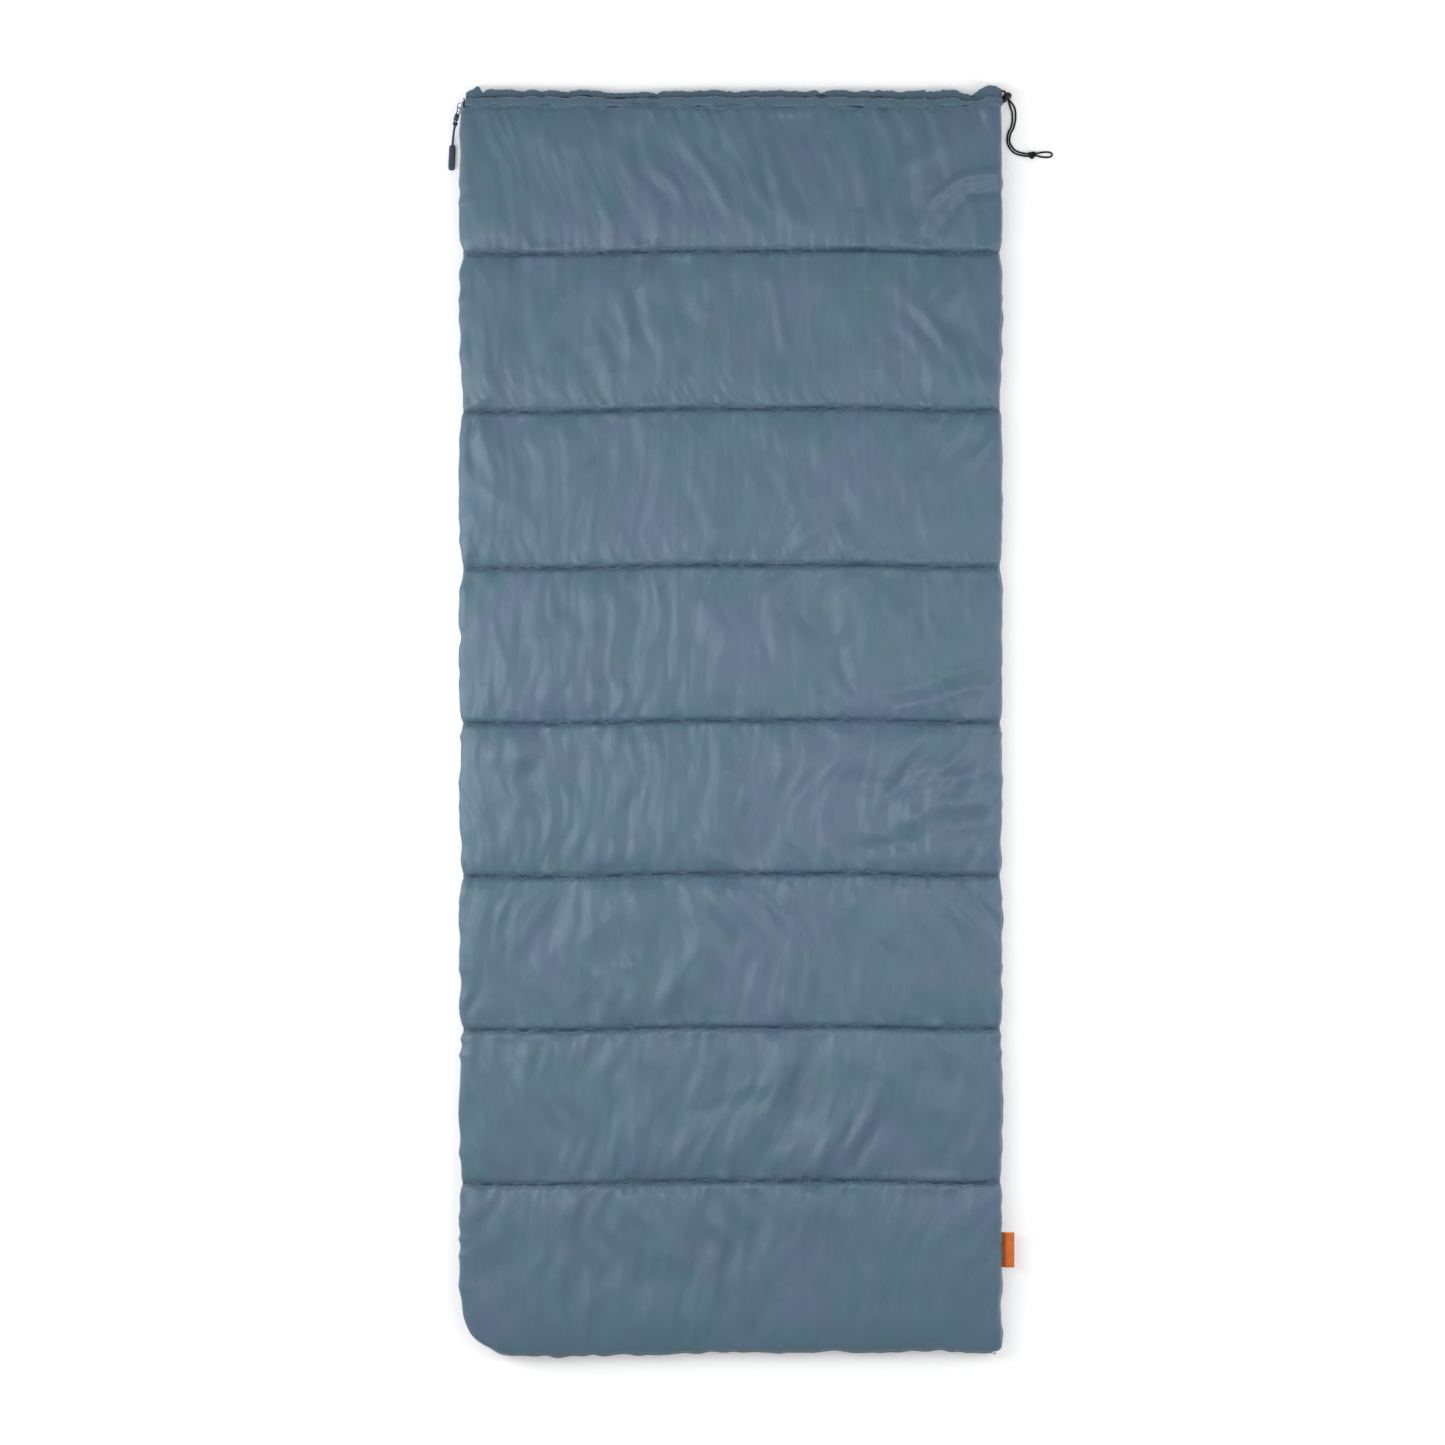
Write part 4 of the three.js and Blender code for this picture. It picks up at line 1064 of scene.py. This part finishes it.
def stitches(line, sign):
    """Stitches along a line of points: short rounded bars of thread with gaps between them."""
    count = int(run_along(line)[-1] / STITCH_PITCH)
    shares = np.array([0.0, 0.06, 0.3, 0.5, 0.7, 0.94, 1.0])
    widths = np.array([0.2, 0.75, 1, 1, 1, 0.75, 0.2]) * STITCH_RADIUS
    lift = np.array([-0.6, 0.1, 0.7, 0.8, 0.7, 0.1, -0.6]) * STITCH_RADIUS * sign
    paths = [points_at(line, (i + 0.12 + 0.76 * shares) * STITCH_PITCH) for i in range(count)]
    for path in paths:
        path[:, 2] += lift
    return paths, [widths] * count


def add_stitching(name, seam_lines):
    """Lockstitch in every quilting seam, on the outside of the shell."""
    sign = LAYERS[name]["sign"]
    paths, widths = [], []
    for line in seam_lines:
        inside = line[(line[:, 2] - LAYERS[name]["inner"]) * sign > 0.75 * SEAM_LOFT]
        more, radii = stitches(inside, sign)
        paths += more
        widths += radii
    points, faces = tube_mesh(paths, widths, 6)
    piece = new_mesh(f"{name}_quilt_stitching", points, faces)
    finish_piece(piece, f"{name}_quilt", "quilting_thread", THREAD,
                 *[f"{name}_quilt_thread_{i}" for i in range(1, 8)])


def add_liner(name):
    """The lining: a thin quilted sheet on the open side of the quilt."""
    layer = LAYERS[name]
    sign, head = layer["sign"], layer["head"]
    low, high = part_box(f"{name}_liner")
    soft, inset = 2.6 * MM, 1 * MM      # bulge between the seams, and distance from the shell's edge
    places = channel_rows(head, GRID)
    columns = round((high.x - low.x) / GRID)
    loft = soft * np.min([rise(np.abs(places - at), 50 * MM) for at in [*SEAMS, FOOT_Y, head]], axis=0)
    face = low.z if sign < 0 else high.z
    grid = np.zeros((len(places), columns, 3))
    for i, y in enumerate(places):
        x = np.linspace(lip_edge(y) + inset, right_edge(np.array([y]))[0] - inset, columns)
        side = rise(np.minimum(x - x[0], x[-1] - x), 40 * MM)
        grid[i] = np.stack([x, np.full(columns, y), face - sign * loft[i] * side], 1)
    seams = seam_rows(places)
    held = held_points(places, columns, seams, head)
    grid = settle(grid, held, hold=0.12, spare=(0.01, 0.04), widen=0.03, pressure=0.0,
                  frames=24, cap=4 * MM, seed=layer["seed"] + 9)
    points, y_rest = in_fine_steps(grid, places, seams)
    middle = face - sign * 1.6 * MM
    points[:, :, 2] = middle + soft * np.tanh((points[:, :, 2] - middle) / soft)
    piece = cloth_mesh(f"{name}_lining_cloth", points, y_rest, head, sign > 0)
    finish_piece(piece, f"{name}_quilt", "liner_fabric", LINER_CLOTH, f"{name}_liner")


# ---- hems at the head

def bump(x, middle, half_width):
    return np.exp(-((x - middle) / half_width) ** 2)


def hem_plan(name, x):
    """How far the hem's edge stands out along the bag at each place across it."""
    out = 0.9 * MM * line_noise(x, 0.03, SEED + 11) + 0.7 * MM * line_noise(x, 0.009, SEED + 12)
    if name == "bottom":        # its ears at both ends are what shows past the upper hem
        out -= 3 * MM * (smoothstep(LEFT_X + 0.04, LEFT_X + 0.12, x)
                         * (1 - smoothstep(RIGHT_X - 0.3, RIGHT_X - 0.1, x)))
        out += 6 * MM * bump(x, LEFT_X + 28 * MM, 6 * MM) - 5 * MM * bump(x, LEFT_X + 37 * MM, 4 * MM)
        out += 4 * MM * smoothstep(RIGHT_X - 44 * MM, RIGHT_X - 34 * MM, x)
        out -= 4 * MM * bump(x, RIGHT_X - 47 * MM, 4 * MM)
    return out


def add_hem(name):
    """The draw-cord channel: a tube of cloth gathered along the cord."""
    low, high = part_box(f"{name}_hem")
    sign = LAYERS[name]["sign"]
    step, past_zip, past_cord, around, cloth = 1.8 * MM, 3.5 * MM, 3 * MM, 32, 0.6 * MM
    x = np.arange(low.x - past_zip, high.x + past_cord, step)
    angle = full_turn(around)
    ring_y, ring_z = squared(angle, np.where(np.cos(angle) < 0, 0.42, 0.75))    # squarer at the quilt
    half_y, half_z = (high.y - low.y) / 2, (high.z - low.z) / 2
    centre_y, centre_z = (high.y + low.y) / 2, (high.z + low.z) / 2
    if name == "bottom":        # seen past the upper hem, so its cloth runs further under that
        half_y, centre_y = half_y + 2.5 * MM, centre_y - 2.5 * MM
    out = hem_plan(name, x)[:, None]
    fine = line_noise(x, 0.0048, SEED + 13)[:, None]
    broad = line_noise(x, 0.011, SEED + 14)[:, None]
    ends = np.minimum(1, 0.5 + np.sqrt(np.minimum(x - x[0], x[-1] - x) / (36 * MM)))[:, None]
    swell = 1 + 0.13 * broad + 0.1 * fine * np.cos(2 * angle + 3 * broad)
    closing = 2.6 * MM * smoothstep(-0.6, 1, sign * ring_y)     # the hems lean on each other
    points = np.zeros((len(x), around, 3))
    points[:, :, 0] = x[:, None] + 0.8 * MM * fine * ring_z
    points[:, :, 1] = centre_y + out * (0.5 + 0.5 * ring_y) + half_y * ring_y * np.minimum(swell, 1.1) * ends
    points[:, :, 2] = centre_z + (half_z - cloth) * ring_z * swell * ends - sign * closing
    piece = new_mesh(f"{name}_gathered_hem", points.reshape(-1, 3), grid_faces(len(x), around, wrap=True))
    mark_seams(piece.data, np.full((len(x), around), 16 * MM))
    finish_piece(piece, f"{name}_quilt", "shell_fabric", SHELL_CLOTH, f"{name}_hem", f"{name}_hem_cord")


# ---- zip

def zip_line(outwards, step=3 * MM):
    """Places along the zip, moved outwards, and the outward direction at each: side, corner, foot."""
    low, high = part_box("top_zip_tape")
    half = 0.5 * MM
    line_x, line_y = low.x + half, low.y + half
    reach = (FOOT_CORNER[0] + LEFT_X - LIP_X, FOOT_Y + FOOT_CORNER[1] - line_y)
    centre = (line_x + reach[0], line_y + reach[1])
    angles = np.linspace(math.pi, 1.5 * math.pi, 24)
    corner = np.stack([centre[0] + (reach[0] + outwards) * np.cos(angles),
                       centre[1] + (reach[1] + outwards) * np.sin(angles)], 1)
    line = np.vstack([[(line_x - outwards, high.y)], corner, [(high.x, line_y - outwards)]])
    line = resample(line, int(run_along(line)[-1] / step))
    line[:, 1] += foot_wander(line[:, 0], line[:, 1])
    ahead = np.gradient(line, axis=0)
    across = np.stack([ahead[:, 1], -ahead[:, 0]], 1)
    return line, across / np.linalg.norm(across, axis=1)[:, None]


def add_zip_tape(name):
    """One woven tape: a standing strip with a corded edge by the teeth."""
    layer = LAYERS[name]
    edge = MID_HEIGHT + layer["sign"] * 0.8 * MM
    line, across = zip_line(0)
    half_section = [(0.55, 0.0), (0.55, 0.7), (0.32, 1.1), (0.32, 4.4)]
    section = half_section + [(-out, up) for out, up in reversed(half_section)]
    points = np.zeros((len(line), len(section), 3))
    for k, (out, up) in enumerate(section):
        points[:, k, :2] = line + across * out * MM
        points[:, k, 2] = edge + layer["sign"] * up * MM
    piece = new_mesh(f"{name}_woven_tape", points.reshape(-1, 3),
                     grid_faces(len(line), len(section), wrap=True, flip=layer["sign"] < 0))
    finish_piece(piece, f"{name}_quilt", "zip_tape", TAPE, f"{name}_zip_tape")


def add_zip_coil(name):
    """One row of nylon teeth: a flattened coil sewn along the tape's edge."""
    sign = LAYERS[name]["sign"]
    low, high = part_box(f"{name}_zip_coil")
    middle = (low.z + high.z) / 2
    half_out, half_up = TOOTH_REACH - TOOTH_WIRE, (high.z - low.z) / 2 - TOOTH_WIRE
    steps = 7                   # points in one turn of the coil
    line, across = zip_line(2.0 * MM, TOOTH_PITCH / steps)
    phase = 2 * math.pi * np.arange(len(line)) / steps + (0 if sign > 0 else math.pi)
    path = np.zeros((len(line), 3))
    path[:, :2] = line + across * (half_out * np.cos(phase))[:, None]
    path[:, 2] = middle + half_up * np.sin(phase)
    points, faces = tube_mesh([path], [TOOTH_WIRE], 4)
    piece = new_mesh(f"{name}_coil_teeth", points, faces)
    finish_piece(piece, f"{name}_quilt", "zip_coil", TEETH, f"{name}_zip_coil")


# ---- fold side and label

def add_fold_strip():
    """The cloth between the two quilts on the folded side."""
    low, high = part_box("side_fold_strip")
    step, past_foot, past_head, tuck, uneven = 3 * MM, 4 * MM, 14 * MM, 3 * MM, 0.6 * MM
    y = np.arange(low.y - past_foot, high.y + past_head, step)
    tucked = smoothstep(y[-1] - 16 * MM, y[-1], y) + 1 - smoothstep(y[0], y[0] + 10 * MM, y)
    edge = right_edge(y) - tuck * tucked
    wrinkle = uneven * line_noise(y, 0.012, SEED + 17)
    half_section = [(-4.5, 12.5), (-1.2, 7.5), (0.5, 4.6), (1.1, 1.5)]
    section = half_section + [(out, -up) for out, up in reversed(half_section)]
    points = np.zeros((len(y), len(section), 3))
    for k, (out, up) in enumerate(section):
        points[:, k, 0] = edge + out * MM + wrinkle * (1 - abs(up) / 13)
        points[:, k, 1] = y
        points[:, k, 2] = MID_HEIGHT + up * MM
    points = sample_grid(points, np.arange(len(y), dtype=float), np.arange(0, len(section) - 1 + 1e-6, 0.25))
    piece = new_mesh("fold_side_cloth", points.reshape(-1, 3), grid_faces(*points.shape[:2]))
    mark_seams(piece.data, np.full(points.shape[:2], 1.0))
    finish_piece(piece, None, "shell_fabric", SHELL_CLOTH, "side_fold_strip")
    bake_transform(piece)


def add_label():
    """A blank woven tab, folded double, its end loop outwards, sewn into the fold side."""
    low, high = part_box("side_label")
    rows, turns = 28, 40
    sewn_in, cloth, half_gap, droop = 1.5 * MM, 0.22 * MM, 0.42 * MM, 0.5 * MM
    root = RIGHT_X - sewn_in
    y = np.linspace(low.y, high.y, rows)
    out = np.concatenate([np.linspace(0, 1, turns), np.linspace(1, 0, turns)])
    side = np.repeat([1.0, -1.0], turns)
    lift = (SHELL_LOW.z - MID_HEIGHT) * smoothstep(0, 0.45, out)
    gap = half_gap * side * np.sqrt(np.clip(1 - out ** 14, 0, 1))
    sag = droop * np.sin((y - low.y) / (high.x - low.x) * 1.3)[:, None] * out
    points = np.zeros((rows, 2 * turns, 3))
    points[:, :, 0] = root + out * (high.x - root)
    points[:, :, 1] = y[:, None]
    points[:, :, 2] = MID_HEIGHT + lift + gap + sag
    piece = new_mesh("side_woven_label", points.reshape(-1, 3), grid_faces(rows, 2 * turns))
    thick = piece.modifiers.new("cloth_thickness", "SOLIDIFY")
    thick.thickness = cloth
    bake_modifiers(piece)
    finish_piece(piece, None, "label_fabric", ORANGE, "side_label")
    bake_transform(piece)


# ---- CAD nodes that stay

def dress_frame():
    """Better materials and softened edges on the metal pieces kept from the CAD."""
    kept = {
        "zip_slider": (METAL, 0.3), "zip_slider_bridge": (METAL, 0.12), "zip_puller_tab": (METAL, 0.25),
        "zip_bottom_stop": (METAL, 0.3), "top_zip_top_stop": (METAL, 0.3),
        "bottom_zip_top_stop": (METAL, 0.3), "cord_lock_spring": (STEEL, 0.02),
    }
    for name, (finish, width) in kept.items():
        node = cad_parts[name]
        for place in node.material_slots:
            place.material = finish
        soften_edges(node, width * MM)


# ---- the whole bag

set_camera()
lock_body, lock_button = add_cord_lock()
add_drawcord([lock_body, lock_button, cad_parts["cord_lock_spring"], add_drawcord_knot()])
add_pull_cord([add_grip(), add_pull_knot(), add_pull_bight()])
set_studio()
for layer_name in ("bottom", "top"):
    add_stitching(layer_name, add_shell(layer_name))
    add_liner(layer_name)
    add_hem(layer_name)
    add_zip_tape(layer_name)
    add_zip_coil(layer_name)
add_fold_strip()
add_label()
dress_frame()
